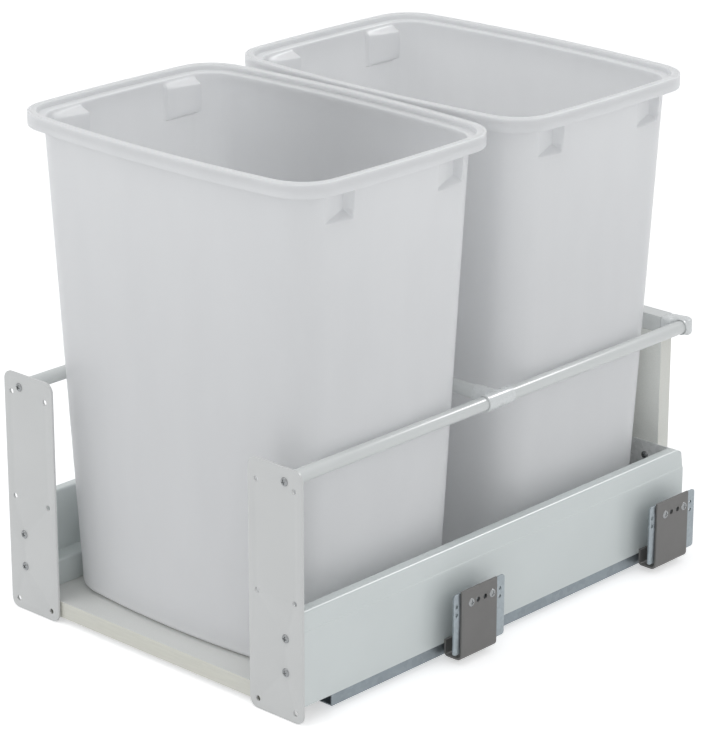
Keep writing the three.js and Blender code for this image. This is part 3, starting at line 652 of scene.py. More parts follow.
def bin_rows():
    """The rings from the middle of the base, up the outside, over the rim and down the inside."""
    near_notch = [LIP_LOW - 38 + ROW_GAP * i for i in range(38)]
    plain_rows = [8, 30, 70, 110, 160, 210, 260, 310, 350, 380, 398]
    quarter = [math.pi / 2 * k / 6 for k in range(7)]
    rows = [body_ring(BASE_RISE, 30), body_ring(BASE_RISE, 20), body_ring(0.0, 17)]
    rows += [body_ring(FOOT * (1 - math.cos(t)), FOOT * (1 - math.sin(t))) for t in quarter[:-1]]
    rows += [body_ring(z) for z in plain_rows]
    rows += [pressed(body_ring(z)) for z in near_notch]
    rows += [body_ring(449.0), body_ring(449.4, -0.15), body_ring(449.5, -0.5)]
    rows += [shelf_ring(449.5, 5.4), shelf_ring(449.7, 5.1), shelf_ring(450.2, 5.0), shelf_ring(LIP_UNDER, 4.9)]
    rows += [rim_ring(LIP_UNDER - depth, inset) for depth, inset in ((0, 3.1), (0.25, 2.45), (0.9, 2.2))]
    rows += [rim_ring(LIP_LOW + rise, inset) for rise, inset in (
        (0.7, 2.2), (0.15, 1.9), (0, 1.3), (0, 0.7), (0.2, 0.2), (0.8, 0), (6, 0))]
    rows += [rim_ring(BIN_HEIGHT - RIM_EDGE * (1 - math.sin(t)), RIM_EDGE * (1 - math.cos(t))) for t in quarter]
    rows += [rim_ring(BIN_HEIGHT - depth, inset) for depth, inset in (
        (0.1, 1.9), (0.6, 2.1), (0.6, 2.7), (0.1, 2.9), (0, 3.2))]
    rows += [shelf_ring(BIN_HEIGHT - depth, inset) for depth, inset in (
        (0, 6.1), (0.25, 6.7), (0.8, 6.95), (2.4, 7.05), (4.2, 7.15), (4.8, 7.4), (5.0, 7.9), (5.0, 10.0))]
    rows += [body_ring(SHELF - depth, inset) for depth, inset in (
        (0, 1.1), (0.2, 1.8), (0.7, 2.3), (1.4, BIN_WALL))]
    inner_rows = [*reversed(near_notch), near_notch[0] - ROW_GAP]
    rows += [pressed(body_ring(z + 1.3, BIN_WALL), BIN_WALL) for z in inner_rows]
    rows += [body_ring(z, BIN_WALL) for z in reversed(plain_rows[1:-1])]
    rows += [body_ring(BIN_WALL + FOOT * (1 - math.cos(t)), BIN_WALL + FOOT * (1 - math.sin(t)))
             for t in reversed(quarter)]
    floor_z = BIN_WALL + BASE_RISE
    rows += [body_ring(BIN_WALL, 17), body_ring(floor_z, 20), body_ring(floor_z, 30)]
    return rows


print("rings in a bin", len(bin_rows()))


# %% Loft the bin's skin
def bin_skin(name):
    """One closed skin over all the rings, with a fan to the middle of the base on either side."""
    rows = bin_rows()
    count = len(rows[0])
    points = [p for row in rows for p in row]
    faces = []
    for lower in range(0, (len(rows) - 1) * count, count):
        upper = lower + count
        for i in range(count):
            j = (i + 1) % count
            faces.append((lower + i, lower + j, upper + j, upper + i))
    points += [(0, 0, BASE_RISE), (0, 0, BIN_WALL + BASE_RISE)]
    last = (len(rows) - 1) * count
    for i in range(count):
        j = (i + 1) % count
        faces.append((len(points) - 2, j, i))
        faces.append((len(points) - 1, last + i, last + j))
    return smooth(solid(name, points, faces), 34)


for node in ("front_bin", "rear_bin"):
    low, high = drawn_box(node)
    skin = bin_skin(node + "_shell")
    skin.data.transform(Matrix.Translation((0, (low.y + high.y) / 2, low.z)))
    settle(skin, bin_plastic, "bin_plastic", node)
    print(skin.name, "faces", len(skin.data.polygons), "height", round(high.z - low.z, 1))

# %% [markdown]
# ## The folded sides
#
# Each side of the drawer is one strip of steel, folded so that a hollow lower part clears the runner and a
# narrow upper part stands over it. It could be a flat sheet, thickened and bevelled, but a fold has one
# radius inside and another outside. So the section is drawn along the outer face, and a function gives the
# sheet its thickness and each fold its radius. The upper rear corner is rounded off by letting each point
# of the section end at its own depth.

# %% Pull a section along an axis
LAY = {  # where a section's two numbers and its depth go
    "x": lambda a, b, depth: (depth, a, b),
    "y": lambda a, b, depth: (a, depth, b),
    "z": lambda a, b, depth: (a, b, depth),
}


def prism(name, section, axis, low, high):
    """A section pulled along an axis. A limit may be a function of the section's point."""
    ends = [limit if callable(limit) else (lambda a, b, limit=limit: limit) for limit in (low, high)]
    count = len(section)
    points = [LAY[axis](a, b, end(a, b)) for end in ends for a, b in section]
    faces = [tuple(range(count)), tuple(range(count, 2 * count))]
    faces += [(i, (i + 1) % count, count + (i + 1) % count, count + i) for i in range(count)]
    return solid(name, points, faces)


def circle(x, y, radius, count=32):
    turns = [2 * math.pi * i / count for i in range(count)]
    return [(x + radius * math.cos(t), y + radius * math.sin(t)) for t in turns]


def rod(name, axis, radius, low, high, x, y, count=32):
    return prism(name, circle(x, y, radius, count), axis, low, high)


def box(name, x, y, z):
    corners = [(x[0], y[0]), (x[1], y[0]), (x[1], y[1]), (x[0], y[1])]
    return prism(name, corners, "z", z[0], z[1])


print("sections run along", list(LAY))


# %% Join and cut
def bake(thing):
    """Turns an object with its modifiers into a plain mesh."""
    evaluated = thing.evaluated_get(bpy.context.evaluated_depsgraph_get())
    mesh = bpy.data.meshes.new_from_object(evaluated)
    thing.modifiers.clear()
    thing.data = mesh
    return thing


def combine(thing, operation, tools):
    for tool in tools:
        step = thing.modifiers.new("combine", "BOOLEAN")
        step.operation, step.solver, step.object = operation, "EXACT", tool
    bake(thing)
    for tool in tools:
        bpy.data.objects.remove(tool)


def cut(thing, *tools):
    combine(thing, "DIFFERENCE", tools)


def join(thing, *tools):
    combine(thing, "UNION", tools)


print("joining and cutting ready")


# %% Soften the edges
def soften(thing, width, segments=2, angle=40):
    """Rounds the sharp edges, and keeps flat faces flat in the shading."""
    edit = bmesh.new()
    edit.from_mesh(thing.data)
    bmesh.ops.remove_doubles(edit, verts=edit.verts, dist=2e-4)
    bmesh.ops.dissolve_limit(
        edit, angle_limit=math.radians(0.6), verts=edit.verts, edges=edit.edges, use_dissolve_boundaries=False)
    edit.to_mesh(thing.data)
    edit.free()
    step = thing.modifiers.new("soften", "BEVEL")
    step.width, step.segments, step.limit_method = width, segments, "ANGLE"
    step.angle_limit, step.harden_normals = math.radians(angle), True
    smooth(thing, 30)
    bake(thing)


print("edge tool ready")


# %% Make the other side
def flipped(thing, name):
    """The same piece for the other side, with its faces turned outwards again."""
    mesh = thing.data.copy()
    mesh.transform(Matrix.Scale(-1, 4, (1, 0, 0)))
    mesh.flip_normals()
    return new_object(name, mesh)


def settle_both(thing, left_name, material, slot, node):
    """Settles a right-hand piece and its mirror image."""
    left = flipped(thing, left_name)
    settle(thing, material, slot, "right_" + node)
    settle(left, material, slot, "left_" + node)
    print(thing.name, left.name, "faces", len(thing.data.polygons))


print("mirror tool ready")


# %% The section of a folded sheet
def folded(points, thickness, radii, steps=6):
    """The section of a folded sheet. The points run along one face, and the sheet lies to their left."""
    line = [Vector(p) for p in points]
    ways = [(b - a).normalized() for a, b in zip(line, line[1:])]
    lefts = [Vector((-w.y, w.x)) for w in ways]
    middle = [line[0] + lefts[0] * thickness / 2]
    for i in range(1, len(line) - 1):
        a, b = lefts[i - 1], lefts[i]
        middle.append(line[i] + (a + b) * (thickness / 2 / (1 + a.dot(b))))
    middle.append(line[-1] + lefts[-1] * thickness / 2)
    samples = [(middle[0], lefts[0])]
    for i in range(1, len(middle) - 1):
        before, after = ways[i - 1], ways[i]
        turn = math.atan2(before.x * after.y - before.y * after.x, before.dot(after))
        radius = radii[i - 1]
        start = middle[i] - before * radius * math.tan(abs(turn) / 2)
        centre = start + lefts[i - 1] * math.copysign(radius, turn)
        spoke = start - centre
        for k in range(steps + 1):
            turned_by = Matrix.Rotation(turn * k / steps, 2)
            samples.append((centre + turned_by @ spoke, turned_by @ lefts[i - 1]))
    samples.append((middle[-1], lefts[-1]))
    face = [p - n * thickness / 2 for p, n in samples]
    other = [p + n * thickness / 2 for p, n in reversed(samples)]
    return [(p.x, p.y) for p in face + other]


print("folding ready")

# %% Fold the sides
OUTER, TOP, INNER_TOP, INNER = 187.4, 105.7, 174.0, 155.4
PROFILE_FRONT, PROFILE_REAR, REAR_ROUND = 2.8, 531.0, 9.0
SCREW_HOLE = 2.2  # a radius
SCREW_X, SIDE_SCREW_Z, RAIL_SCREW_Z = 168.5, (45.0, 77.0), 222.0


def side_section():
    """The folded section, with more points where the rear corner is rounded."""
    section = folded([
        (OUTER, 17.0), (OUTER, 86.6), (OUTER - 0.7, 87.3), (OUTER - 1.2, TOP), (INNER_TOP, TOP),
        (INNER_TOP, 45.6), (INNER, 45.6), (INNER, 4.7), (INNER - 20, 4.7)],
        thickness=1.2, radii=[0.75, 0.75, 2.9, 1.6, 1.4, 1.4, 1.2])
    dense = []
    for (a, b), (c, d) in zip(section, section[1:] + section[:1]):
        pieces = max(1, math.ceil(abs(d - b) / 1.2)) if min(b, d) > TOP - REAR_ROUND - 9 else 1
        dense += [(a + (c - a) * k / pieces, b + (d - b) * k / pieces) for k in range(pieces)]
    return dense


def rear_end(_, z):
    """How far back the side reaches at a height."""
    over = max(0.0, z - (TOP - REAR_ROUND))
    return PROFILE_REAR - REAR_ROUND + math.sqrt(max(0.0, REAR_ROUND ** 2 - over ** 2))


profile = prism("right_side_profile_folded", side_section(), "y", PROFILE_FRONT, rear_end)
end_plate = box("end_plate", (OUTER - 27, OUTER - 1.8), (PROFILE_FRONT, PROFILE_FRONT + 2), (38.0, 100.7))
join(profile, end_plate)
flange_end = box("flange_end", (INNER - 21, INNER - 0.6), (0, 30), (-1, 4.99))
holes = [rod("hole", "y", SCREW_HOLE, 0, 14, SCREW_X, z) for z in SIDE_SCREW_Z]
holes += [rod("hole", "z", SCREW_HOLE, 0, 5, 145.4, y) for y in (90.0, 440.0)]
cut(profile, flange_end, *holes)
soften(profile, width=0.22, angle=55)
settle_both(profile, "left_side_profile_folded", side_coat, "paint", "side_profile")

# %% [markdown]
# ## The door plates
#
# The cabinet door is screwed to two tall plates. They are punched from thick steel, so their edges are
# slightly rounded and their holes are clean circles. Cutting holes out of a block and bevelling it can
# leave ragged edges. A filled outline with rings round every edge gives both cleanly.


# %% Outlines with rounded corners
def rounded(points, radii, inset=0.0, steps=8):
    """A closed outline, moved in by an inset, with an arc at each corner. The points run anticlockwise."""
    count = len(points)
    radii = radii if isinstance(radii, list) else [radii] * count
    corners = [Vector(p) for p in points]
    ways = [(corners[(i + 1) % count] - corners[i]).normalized() for i in range(count)]
    outline = []
    for i, corner in enumerate(corners):
        before, after = ways[i - 1], ways[i]
        left, right = Vector((-before.y, before.x)), Vector((-after.y, after.x))
        place = corner + (left + right) * (inset / (1 + left.dot(right)))
        turn = math.atan2(before.x * after.y - before.y * after.x, before.dot(after))
        radius = radii[i] - inset if turn > 0 else radii[i] + inset
        if radii[i] <= 0 or radius < 0.02 or abs(turn) < 0.02:
            outline.append((place.x, place.y))
            continue
        reach = radius * math.tan(abs(turn) / 2)
        start = place - before * reach
        middle = start + Vector((-before.y, before.x)) * math.copysign(radius, turn)
        spoke = start - middle
        for k in range(steps + 1):
            a = turn * k / steps
            outline.append((middle.x + spoke.x * math.cos(a) - spoke.y * math.sin(a),
                            middle.y + spoke.x * math.sin(a) + spoke.y * math.cos(a)))
    return outline


def hole(x, y, radius):
    return lambda inset: circle(x, y, radius + inset)


print("outline tools ready")


# %% Punch a plate
def plate(name, loops, axis, low, high, edge, rounds=3):
    """A punched plate. Each loop is a function that gives an outline or a hole, moved in from its edge."""
    turns = [math.pi / 2 * k / rounds for k in range(rounds + 1)]
    steps = [(edge * (1 - math.sin(t)), low + edge * (1 - math.cos(t))) for t in turns]
    steps += [(inset, low + high - depth) for inset, depth in reversed(steps)]
    edit = bmesh.new()
    first, last = [], []
    for loop in loops:
        rings = [[edit.verts.new(LAY[axis](a, b, depth)) for a, b in loop(inset)] for inset, depth in steps]
        count = len(rings[0])
        for lower, upper in zip(rings, rings[1:]):
            for i in range(count):
                j = (i + 1) % count
                edit.faces.new((lower[i], lower[j], upper[j], upper[i]))
        for end, kept in ((rings[0], first), (rings[-1], last)):
            kept += [edit.edges.get((end[i], end[(i + 1) % count])) for i in range(count)]
    for rim in (first, last):
        bmesh.ops.triangle_fill(edit, edges=rim, use_beauty=True)
    bmesh.ops.remove_doubles(edit, verts=edit.verts, dist=1e-4)
    bmesh.ops.recalc_face_normals(edit, faces=edit.faces)
    mesh = bpy.data.meshes.new(name)
    edit.to_mesh(mesh)
    edit.free()
    return smooth(new_object(name, mesh), 20)


print("punch ready")

# %% Punch the door plates
PLATE_IN, PLATE_OUT, PLATE_TALL, PLATE_THICK = 124.5, 189.0, 235.0, 2.5
corners = [(PLATE_IN, 0), (PLATE_OUT, 0), (PLATE_OUT, PLATE_TALL), (PLATE_IN, PLATE_TALL)]
loops = [lambda inset: rounded(corners, 9.0, inset, steps=10)]
loops += [hole(x, z, 2.5) for x in (179.5, 134.5) for z in (9.5, 112.5, 215.5)]
loops += [hole(SCREW_X, z, SCREW_HOLE) for z in (*SIDE_SCREW_Z, RAIL_SCREW_Z)]
door_plate = plate("right_door_plate", loops, "y", 0.0, PLATE_THICK, edge=0.5)
print("holes in a door plate", len(loops) - 1)
settle_both(door_plate, "left_door_plate", plate_coat, "paint", "door_bracket")

# %% [markdown]
# ## Geometry Nodes, from Python
#
# Screws, balls and tubes repeat, so each kind is one node tree with named inputs, used by many objects.
# Copying objects by hand would work, but one tree keeps them alike. Each result is made a plain mesh.


# %% A class for geometry trees
class Maker(Graph):
    """A Geometry Nodes tree with named inputs."""

    def __init__(self, name, inputs):
        super().__init__(bpy.data.node_groups.new(name, "GeometryNodeTree"))
        face = self.tree.interface
        face.new_socket("Geometry", in_out="INPUT", socket_type="NodeSocketGeometry")
        self.ids = {}
        for label, kind, start in (*inputs, ("Finish", "Material", None)):
            socket = face.new_socket(label, in_out="INPUT", socket_type="NodeSocket" + kind)
            self.ids[label] = socket.identifier
            if start is not None:
                socket.default_value = start
        face.new_socket("Geometry", in_out="OUTPUT", socket_type="NodeSocketGeometry")
        self.given = self.node("NodeGroupInput")

    def input(self, name):
        return self.given.other(name)

    def moved(self, geometry, place=(0, 0, 0), turn=(0, 0, 0), scale=(1, 1, 1)):
        return self.node("GeometryNodeTransform", {}, {
            "Geometry": geometry, "Translation": place, "Rotation": turn, "Scale": scale})

    def vector(self, x, y, z):
        return self.node("ShaderNodeCombineXYZ", {}, {0: x, 1: y, 2: z})

    def end(self, geometry):
        """Every tree ends in real geometry with its finish."""
        real = self.node("GeometryNodeRealizeInstances", {}, {"Geometry": geometry})
        dressed = self.node("GeometryNodeSetMaterial", {}, {"Geometry": real, "Material": self.input("Finish")})
        self.node("NodeGroupOutput", {}, {"Geometry": dressed})

    def make(self, name, material, points=(), **values):
        """A new object from this tree, as a plain mesh."""
        mesh = bpy.data.meshes.new(name)
        mesh.from_pydata([tuple(p) for p in points] or [(0, 0, 0)], [], [])
        made = new_object(name, mesh)
        step = made.modifiers.new("maker", "NODES")
        step.node_group = self.tree
        step[self.ids["Finish"]] = material
        for label, value in values.items():
            step[self.ids[label.replace("_", " ")]] = value
        return bake(made)


print("geometry class ready")

# %% [markdown]
# ## The rails
#
# Round tubes run along both sides and across between the bins. A tube is a wall section swept round a
# circle, which gives it a bore and rounded ends at once. A cylinder would be quicker, but it would have neither.

# %% A tree for tubes
tubes = Maker("tube_maker", [
    ("Length", "Float", 100.0), ("Radius", "Float", 6.5), ("Wall", "Float", 1.2), ("Edge", "Float", 0.3),
    ("Middle", "Vector", (0, 0, 0)), ("Turn", "Vector", (0, 0, 0))])
wall = tubes.input("Wall")
path = tubes.node("GeometryNodeCurvePrimitiveCircle", {"mode": "RADIUS"}, {
    "Resolution": 72, "Radius": tubes.input("Radius") - wall * 0.5})
section = tubes.node("GeometryNodeCurvePrimitiveQuadrilateral", {"mode": "RECTANGLE"}, {
    "Width": wall, "Height": tubes.input("Length")})
section = tubes.node("GeometryNodeFilletCurve", {"mode": "POLY"}, {
    "Curve": section, "Count": 3, "Radius": tubes.input("Edge")})
swept = tubes.node("GeometryNodeCurveToMesh", {}, {"Curve": path, "Profile Curve": section})
tubes.end(tubes.moved(swept, tubes.input("Middle"), tubes.input("Turn")))
print("tube tree nodes", len(tubes.tree.nodes))


# %% Pull the tubes
def tube(name, node, axis):
    """A tube that fills a node's box along an axis."""
    low, high = drawn_box(node)
    middle = (low + high) / 2
    turn = (math.pi / 2, 0, 0) if axis == "y" else (0, math.pi / 2, 0)
    length = (high - low)[{"x": 0, "y": 1}[axis]]
    made = tubes.make(name, rail_coat, Length=length, Radius=TUBE_RADIUS, Middle=middle, Turn=turn)
    repair(made.data, merge=1e-3)
    settle(smooth(made, 25), rail_coat, "paint", node)
    print(made.name, "length", round(length, 1), "faces", len(made.data.polygons))


TUBE_RADIUS = 6.5
for side_name in ("left", "right"):
    tube(side_name + "_side_tube", side_name + "_side_rail", "y")
tube("cross_tube", "cross_rail", "x")

# %% [markdown]
# ## The rail's connectors
#
# A moulded sleeve joins the cross rail to each side rail: a ring at its front, a long body, a taper at its
# rear and a branch. At the back a rounded block turns the side rail into the rear rail. Both could be
# sculpted. Turned and punched solids, joined and then bored, are closer to how the mould was cut.


# %% Turn a solid
def turned(name, profile, axis, x, y, count=64):
    """A solid turned round an axis, from points of (radius, along) that start and end on it."""
    points, rings = [], []
    for radius, along in profile:
        if radius < 1e-6:
            rings.append([len(points)] * count)
            points.append(LAY[axis](x, y, along))
        else:
            rings.append(list(range(len(points), len(points) + count)))
            points += [LAY[axis](a, b, along) for a, b in circle(x, y, radius, count)]
    faces = []
    for lower, upper in zip(rings, rings[1:]):
        for i in range(count):
            j = (i + 1) % count
            face = list(dict.fromkeys((lower[i], lower[j], upper[j], upper[i])))
            if len(face) > 2:
                faces.append(face)
    return solid(name, points, faces)


print("turning ready")

# %% Turn and join the sleeves
RAIL_X, RAIL_Z, TEE_Y = SCREW_X, RAIL_SCREW_Z, 274.5
SLEEVE_RADIUS, BORE_RADIUS, SLEEVE_REACH = 8.0, 6.8, 18.0
front_of_tee, rear_of_tee = TEE_Y - SLEEVE_REACH, TEE_Y + SLEEVE_REACH
ring_shape = [
    (0, 0), (8.1, 0), (8.4, 0.1), (8.5, 0.4), (8.5, 2.4), (8.38, 2.8), (SLEEVE_RADIUS, 3.0), (SLEEVE_RADIUS, 3.2)]
taper_shape = [(SLEEVE_RADIUS, -9), (7.75, -4.5), (7.45, -0.35), (7.2, 0), (0, 0)]
sleeve_shape = [(r, front_of_tee + y) for r, y in ring_shape] + [(r, rear_of_tee + y) for r, y in taper_shape]
sleeve = turned("right_rail_sleeve", sleeve_shape, "y", RAIL_X, RAIL_Z, 72)
branch_end = RAIL_X - TUBE_RADIUS - SLEEVE_REACH
branch_shape = [(0, 0), (7.6, 0), (7.95, 0.4), (SLEEVE_RADIUS, 0.9)]
branch_shape = [(r, branch_end + x) for r, x in branch_shape] + [(SLEEVE_RADIUS, RAIL_X), (0, RAIL_X)]
branch = turned("branch", branch_shape, "x", TEE_Y, RAIL_Z, 72)
join(sleeve, branch)
cut(sleeve,
    rod("bore", "y", BORE_RADIUS, front_of_tee - 1, rear_of_tee + 1, RAIL_X, RAIL_Z, 64),
    rod("bore", "x", BORE_RADIUS, branch_end - 1, RAIL_X - 8, TEE_Y, RAIL_Z, 64))
smooth(sleeve, 12)
settle_both(sleeve, "left_rail_sleeve", rail_plastic, "rail_plastic", "tee_connector")

# %% Round the corner blocks
PANEL_FRONT, SKIRT_REAR, MOUTH = 536.0, 553.5, 545.0
corner_low, corner_high = drawn_box("right_corner_connector")
NEAR, FAR, BACK = 150.8, corner_high.x, corner_high.y
LOW, HIGH = corner_low.z, corner_high.z
plan = [
    (NEAR - 6, PANEL_FRONT), (NEAR + 9, PANEL_FRONT), (RAIL_X - TUBE_RADIUS, MOUTH), (FAR, MOUTH), (FAR, BACK),
    (FAR - 9.6, BACK), (NEAR - 6, SKIRT_REAR)]
radii = [0, 4.0, 5.0, 3.5, 9.0, 0, 0]
block = plate("right_rail_corner", [lambda inset: rounded(plan, radii, inset)], "z", LOW, HIGH, edge=3.0, rounds=6)
cut(block, box("seam", (NEAR - 20, NEAR), (PANEL_FRONT - 10, BACK + 10), (LOW - 5, HIGH + 5)))
collar_shape = [(0, -1.5), (7.6, -1.5), (7.95, -1.25), (SLEEVE_RADIUS, -0.8), (SLEEVE_RADIUS, 2), (0, 2)]
collar = turned("collar", [(r, MOUTH + y) for r, y in collar_shape], "y", RAIL_X, RAIL_Z, 64)
tongue = box("tongue", (NEAR - 18, NEAR + 3), (PANEL_FRONT + 1.5, 552.0), (LOW + 1.5, HIGH - 1.5))
join(block, collar, tongue)
cut(block, rod("socket", "y", BORE_RADIUS, MOUTH - 3, MOUTH + 8, RAIL_X, RAIL_Z, 64))
smooth(block, 22)
settle_both(block, "left_rail_corner", rail_plastic, "rail_plastic", "corner_connector")

# %% [markdown]
# ## Pieces that keep the model's shape
#
# The boards, the rear rail and the runner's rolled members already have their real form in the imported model.
# They could be drawn again, but they only lack rounded edges. So a copy of each is merged, its edges are
# softened and it takes its finish.


# %% Soften the copied pieces
def dressed(node, name, material, slot, width, segments=2):
    """A copy of a node's solid with its edges rounded to a width."""
    mesh = NODES[node].data.copy()
    mesh.transform(TO_DRAWING)
    thing = new_object(name, mesh)
    for layer in list(mesh.attributes):
        if layer.name == "custom_normal":
            mesh.attributes.remove(layer)
    soften(thing, width, segments)
    settle(thing, material, slot, node)
    print(thing.name, "faces", len(thing.data.polygons))


dressed("bottom_board", "bottom_board_edged", board_laminate, "laminate", width=0.7, segments=3)
dressed("back_panel", "back_panel_edged", panel_laminate, "laminate", width=0.7, segments=3)
dressed("rear_rail", "rear_cap_rail", rail_coat, "paint", width=0.55, segments=3)
for side_name in ("left", "right"):
    for member in ("cabinet", "middle", "drawer"):
        node = f"{side_name}_{member}_rail"
        dressed(node, node + "_rolled", runner_zinc, "zinc", width=0.3)

# %% [markdown]
# ## The brackets on the cabinet wall
#
# A dark U of steel grips each runner from below and carries a tall plate with a row of holes. Behind it, a
# zinc plate shows on both sides. The U could be three joined blocks, but its wide lower bend would then be
# missing. So it is folded like the drawer's sides, then drilled.

# %% Fold and drill the wall brackets
WALL, LEG, HOLE_Z = 208.5, 187.8, 59.0
FIRST_HOLE, HOLE_PITCH, HOLE_RADIUS = 13.0, 9.5, 2.4
ZINC_FACE = WALL - 2.3  # the zinc plate's outer face, just behind the bracket
for where in ("front", "rear"):
    low, high = drawn_box(f"right_{where}_wall_bracket")
    line = [(LEG, 21.0), (LEG, 5.0), (WALL, 5.0), (WALL, 73.0)]
    section = folded(line, thickness=2.0, radii=[2.6, 4.4], steps=8)
    bracket = prism(f"right_{where}_wall_u", section, "y", low.y, high.y)
    bosses = [rod("boss", "x", 3.5, low.x, LEG + 1, low.y + reach, 11.0) for reach in (12, 36)]
    places = [low.y + FIRST_HOLE + HOLE_PITCH * i for i in range(4)]
    drills = [rod("drill", "x", HOLE_RADIUS, WALL - 4, WALL + 1, y, HOLE_Z) for y in places]
    join(bracket, *bosses)
    cut(bracket, *drills)
    soften(bracket, width=0.3, angle=50)
    settle_both(bracket, f"left_{where}_wall_u", taupe.material, "taupe", where + "_wall_bracket")

    y0, y1 = low.y - 8, low.y + 61
    corners = [(y0, 12.0), (y1, 12.0), (y1, 71.0), (y0, 71.0)]
    loops = [lambda inset, corners=corners: rounded(corners, 3.0, inset, steps=6)]
    loops += [hole(y, z, 1.6) for y in (y0 + 4, y1 - 6.5) for z in (HOLE_Z, HOLE_Z - 8)]
    loops += [hole(y, HOLE_Z, HOLE_RADIUS) for y in (places[0], places[-1])]
    zinc_plate = plate(f"right_{where}_wall_plate", loops, "x", ZINC_FACE - 2, ZINC_FACE, edge=0.35)
    settle_both(zinc_plate, f"left_{where}_wall_plate", wall_zinc, "zinc", where + "_zinc_plate")

# %% [markdown]
# ## The angles at the back
#
# An angle ties the narrow upper part of each side to the back panel. Two joined plates would do, but the real
# one is a folded strip with two screw holes, so it is made with the same folding function.

# %% Fold the angles
PANEL_FACE = PANEL_FRONT - 0.3
line = [(173.7, PANEL_FACE - 40.7), (173.7, PANEL_FACE), (120.0, PANEL_FACE)]
section = folded(line, thickness=1.5, radii=[1.6])
angle = prism("right_back_angle", section, "z", 46.0, 100.0)
cut(angle, *[rod("drill", "y", SCREW_HOLE, PANEL_FACE - 3, PANEL_FACE + 1, 138.0, z) for z in (61.0, 85.0)])
soften(angle, width=0.25, angle=50)
settle_both(angle, "left_back_angle", angle_zinc, "zinc", "back_bracket")

# %% [markdown]
# ## The screws
#
# All visible screws are pan heads with a cross recess. One tree makes the screw once: a ball whose lower half
# is pressed flat gives the head, two bars cut its recess, and a stem with a point gives the rest. The tree
# puts a copy on every point, each turned by a different amount, as a fitter leaves them.

# %% A tree for screws
screws = Maker("screw_maker", [
    ("Head radius", "Float", 4.0), ("Head height", "Float", 1.6), ("Shank radius", "Float", 1.9),
    ("Shank length", "Float", 12.0), ("Facing", "Vector", (0, 0, 0)), ("Seed", "Int", 3)])
wide, tall = screws.input("Head radius"), screws.input("Head height")
shank, long = screws.input("Shank radius"), screws.input("Shank length")
ball = screws.node("GeometryNodeMeshUVSphere", {}, {"Segments": 40, "Rings": 20, "Radius": 1.0})
place = screws.node("ShaderNodeSeparateXYZ", {}, {0: screws.node("GeometryNodeInputPosition")})
flat = screws.vector(place.other("X"), place.other("Y"), place.other("Z") | 0.0)
head = screws.node("GeometryNodeSetPosition", {}, {"Geometry": ball, "Position": flat})
head = screws.moved(head, scale=screws.vector(wide, wide, tall))
for quarter in (0, 1):
    arm = screws.node("GeometryNodeMeshCube", {}, {
        "Size": screws.vector(wide * 1.15, wide * 0.24, tall * (1.4 + 0.1 * quarter))})
    arm = screws.moved(arm, place=screws.vector(0, 0, tall), turn=(0, 0, math.pi / 2 * quarter))
    head = screws.node("GeometryNodeMeshBoolean", {"operation": "DIFFERENCE"}, {"Mesh 1": head, "Mesh 2": arm})
stem = screws.node("GeometryNodeMeshCylinder", {"fill_type": "NGON"}, {
    "Vertices": 16, "Radius": shank, "Depth": long - shank})
stem = screws.moved(stem, place=screws.vector(0, 0, (long - shank) * -0.5))
point = screws.node("GeometryNodeMeshCone", {"fill_type": "NGON"}, {
    "Vertices": 16, "Radius Top": 0.05, "Radius Bottom": shank, "Depth": shank})
point = screws.moved(point, place=screws.vector(0, 0, long * -1.0), turn=(math.pi, 0, 0))
one_screw = screws.node("GeometryNodeJoinGeometry", {}, {"Geometry": [head, stem, point]})
facing = screws.node("FunctionNodeEulerToRotation", {}, {0: screws.input("Facing")})
copies = screws.node("GeometryNodeInstanceOnPoints", {}, {
    "Points": screws.input("Geometry"), "Instance": one_screw, "Rotation": facing})
spin = screws.node("FunctionNodeRandomValue", {"data_type": "FLOAT"}, {
    2: 0.0, 3: 1.5, "Seed": screws.input("Seed")}, output=1)
spin = screws.node("FunctionNodeEulerToRotation", {}, {0: screws.vector(0, 0, spin)})
copies = screws.node("GeometryNodeRotateInstances", {}, {"Instances": copies, "Rotation": spin})
screws.end(copies)
print("screw tree nodes", len(screws.tree.nodes))

# %% Drive the screws
DOWN, FORWARD = (math.pi, 0, 0), (math.pi / 2, 0, 0)
RIGHT, LEFT = (0, math.pi / 2, 0), (0, -math.pi / 2, 0)


def screw_set(name, nodes, facing, axis, sign, head, length, radius=4.0):
    """Screws at the places of their nodes, with their heads towards sign on an axis."""
    seats = []
    for node in nodes:
        low, high = drawn_box(node)
        seat = (low + high) / 2
        seat[axis] = (high[axis] - head) if sign > 0 else (low[axis] + head)
        seats.append(seat)
    values = {"Head radius": radius, "Head height": head, "Shank length": length, "Facing": facing}
    made = screws.make(name, bright.material, seats, **values)
    repair(made.data, merge=None)
    settle(smooth(made, 32), bright.material, "screw_steel", *nodes)
    print(made.name, "screws", len(seats), "faces", len(made.data.polygons))


front_nodes = [f"{s}_{n}" for s in ("left", "right") for n in (
    "rail_screw", "side_screw_low", "side_screw_high", "panel_screw_low", "panel_screw_high")]
screw_set("front_screws", front_nodes, FORWARD, 1, -1, 1.6, 12.0)
board_nodes = [f"{s}_board_screw_{w}" for s in ("left", "right") for w in ("front", "rear")]
screw_set("board_screws", board_nodes, DOWN, 2, -1, 1.6, 12.0)
for side_name, facing, sign in (("left", LEFT, -1), ("right", RIGHT, 1)):
    nodes = [f"{side_name}_{w}_plate_screw_{e}" for w in ("front", "rear") for e in ("front", "rear")]
    screw_set(side_name + "_wall_screws", nodes, facing, 0, sign, 1.0, 6.5)

# %% [markdown]
# ## The ball cages
#
# Inside each runner, two rows of steel balls roll between the members, and a thin plastic channel keeps
# them apart. The channel is a prism with pockets drilled into it. The balls could be copied one by one, but
# one tree that sets out two rows keeps them in line with the pockets.

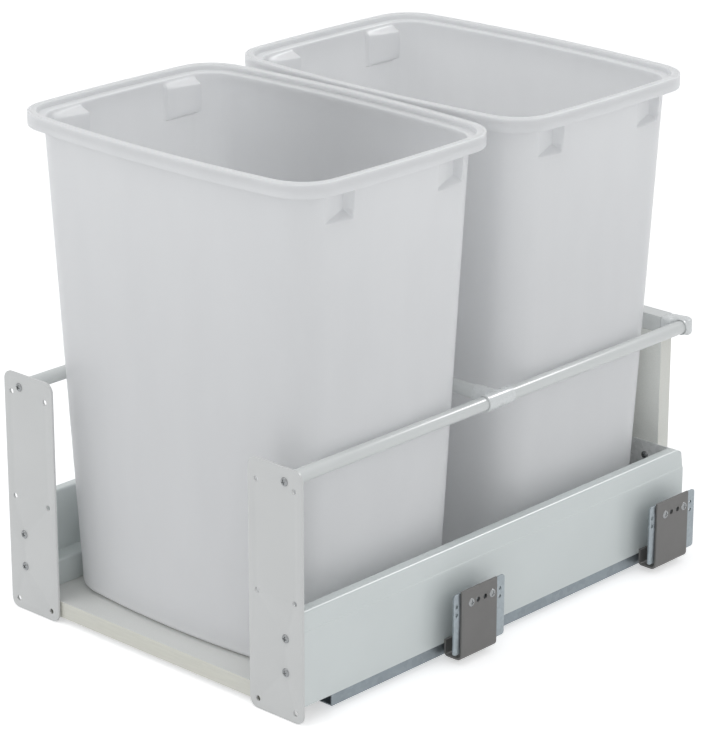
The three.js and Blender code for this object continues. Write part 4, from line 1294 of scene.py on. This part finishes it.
# %% A tree for balls
balls = Maker("ball_maker", [
    ("Count", "Int", 10), ("First", "Vector", (0, 0, 0)), ("Pitch", "Float", 20.0),
    ("Row gap", "Float", 20.0), ("Ball radius", "Float", 2.2)])
row = balls.node("GeometryNodeMeshLine", {"mode": "OFFSET"}, {
    "Count": balls.input("Count"), "Start Location": balls.input("First"),
    "Offset": balls.vector(0, balls.input("Pitch"), 0)})
upper = balls.moved(row, place=balls.vector(0, 0, balls.input("Row gap")))
rows = balls.node("GeometryNodeJoinGeometry", {}, {"Geometry": [row, upper]})
ball = balls.node("GeometryNodeMeshIcoSphere", {}, {"Radius": balls.input("Ball radius"), "Subdivisions": 3})
balls.end(balls.node("GeometryNodeInstanceOnPoints", {}, {"Points": rows, "Instance": ball}))
print("ball tree nodes", len(balls.tree.nodes))

# %% Make the cages and their balls
BALL_RADIUS, BALLS_IN_ROW = 2.2, 10
for side_name, sign in (("left", -1), ("right", 1)):
    for which in ("outer", "inner"):
        node = f"{side_name}_{which}_ball_cage"
        low, high = drawn_box(node)
        near, far = (low.x, high.x) if sign > 0 else (-high.x, -low.x)
        low_z, high_z = low.z + BALL_RADIUS, high.z - BALL_RADIUS
        edge = near + 1.0
        channel = prism(f"{node}_channel", [
            (edge, low_z - 0.5), (far, low_z - 0.5), (far, high_z + 0.5), (edge, high_z + 0.5),
            (edge, high_z - 0.5), (far - 0.8, high_z - 0.5), (far - 0.8, low_z + 0.5), (edge, low_z + 0.5)],
            "y", low.y, high.y)
        pitch = (high.y - low.y) / BALLS_IN_ROW
        places = [low.y + pitch * (i + 0.5) for i in range(BALLS_IN_ROW)]
        pockets = [rod("pocket", "z", 2.3, low_z - 2, high_z + 2, near + BALL_RADIUS, y, 20) for y in places]
        cut(channel, *pockets)
        soften(channel, width=0.12, segments=1, angle=50)
        if sign < 0:
            flipped_channel = flipped(channel, channel.name + "_left")
            bpy.data.objects.remove(channel)
            channel = flipped_channel
        settle(channel, cage_plastic, "cage_plastic", node)
        first = (sign * (near + BALL_RADIUS), places[0], low_z)
        values = {"Row gap": high_z - low_z, "Ball radius": BALL_RADIUS}
        made = balls.make(
            f"{node}_balls", ball_steel.material, Count=BALLS_IN_ROW, First=first, Pitch=pitch, **values)
        settle(smooth(made, 60), ball_steel.material, "screw_steel", body=BODY_OF[node])
        print(channel.name, made.name, "balls", 2 * BALLS_IN_ROW)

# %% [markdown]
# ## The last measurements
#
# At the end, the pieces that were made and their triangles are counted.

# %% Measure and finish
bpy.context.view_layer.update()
faces = sum(len(p.vertices) - 2 for thing in MADE for p in thing.data.polygons)
print("pieces", len(MADE), "triangles", faces)
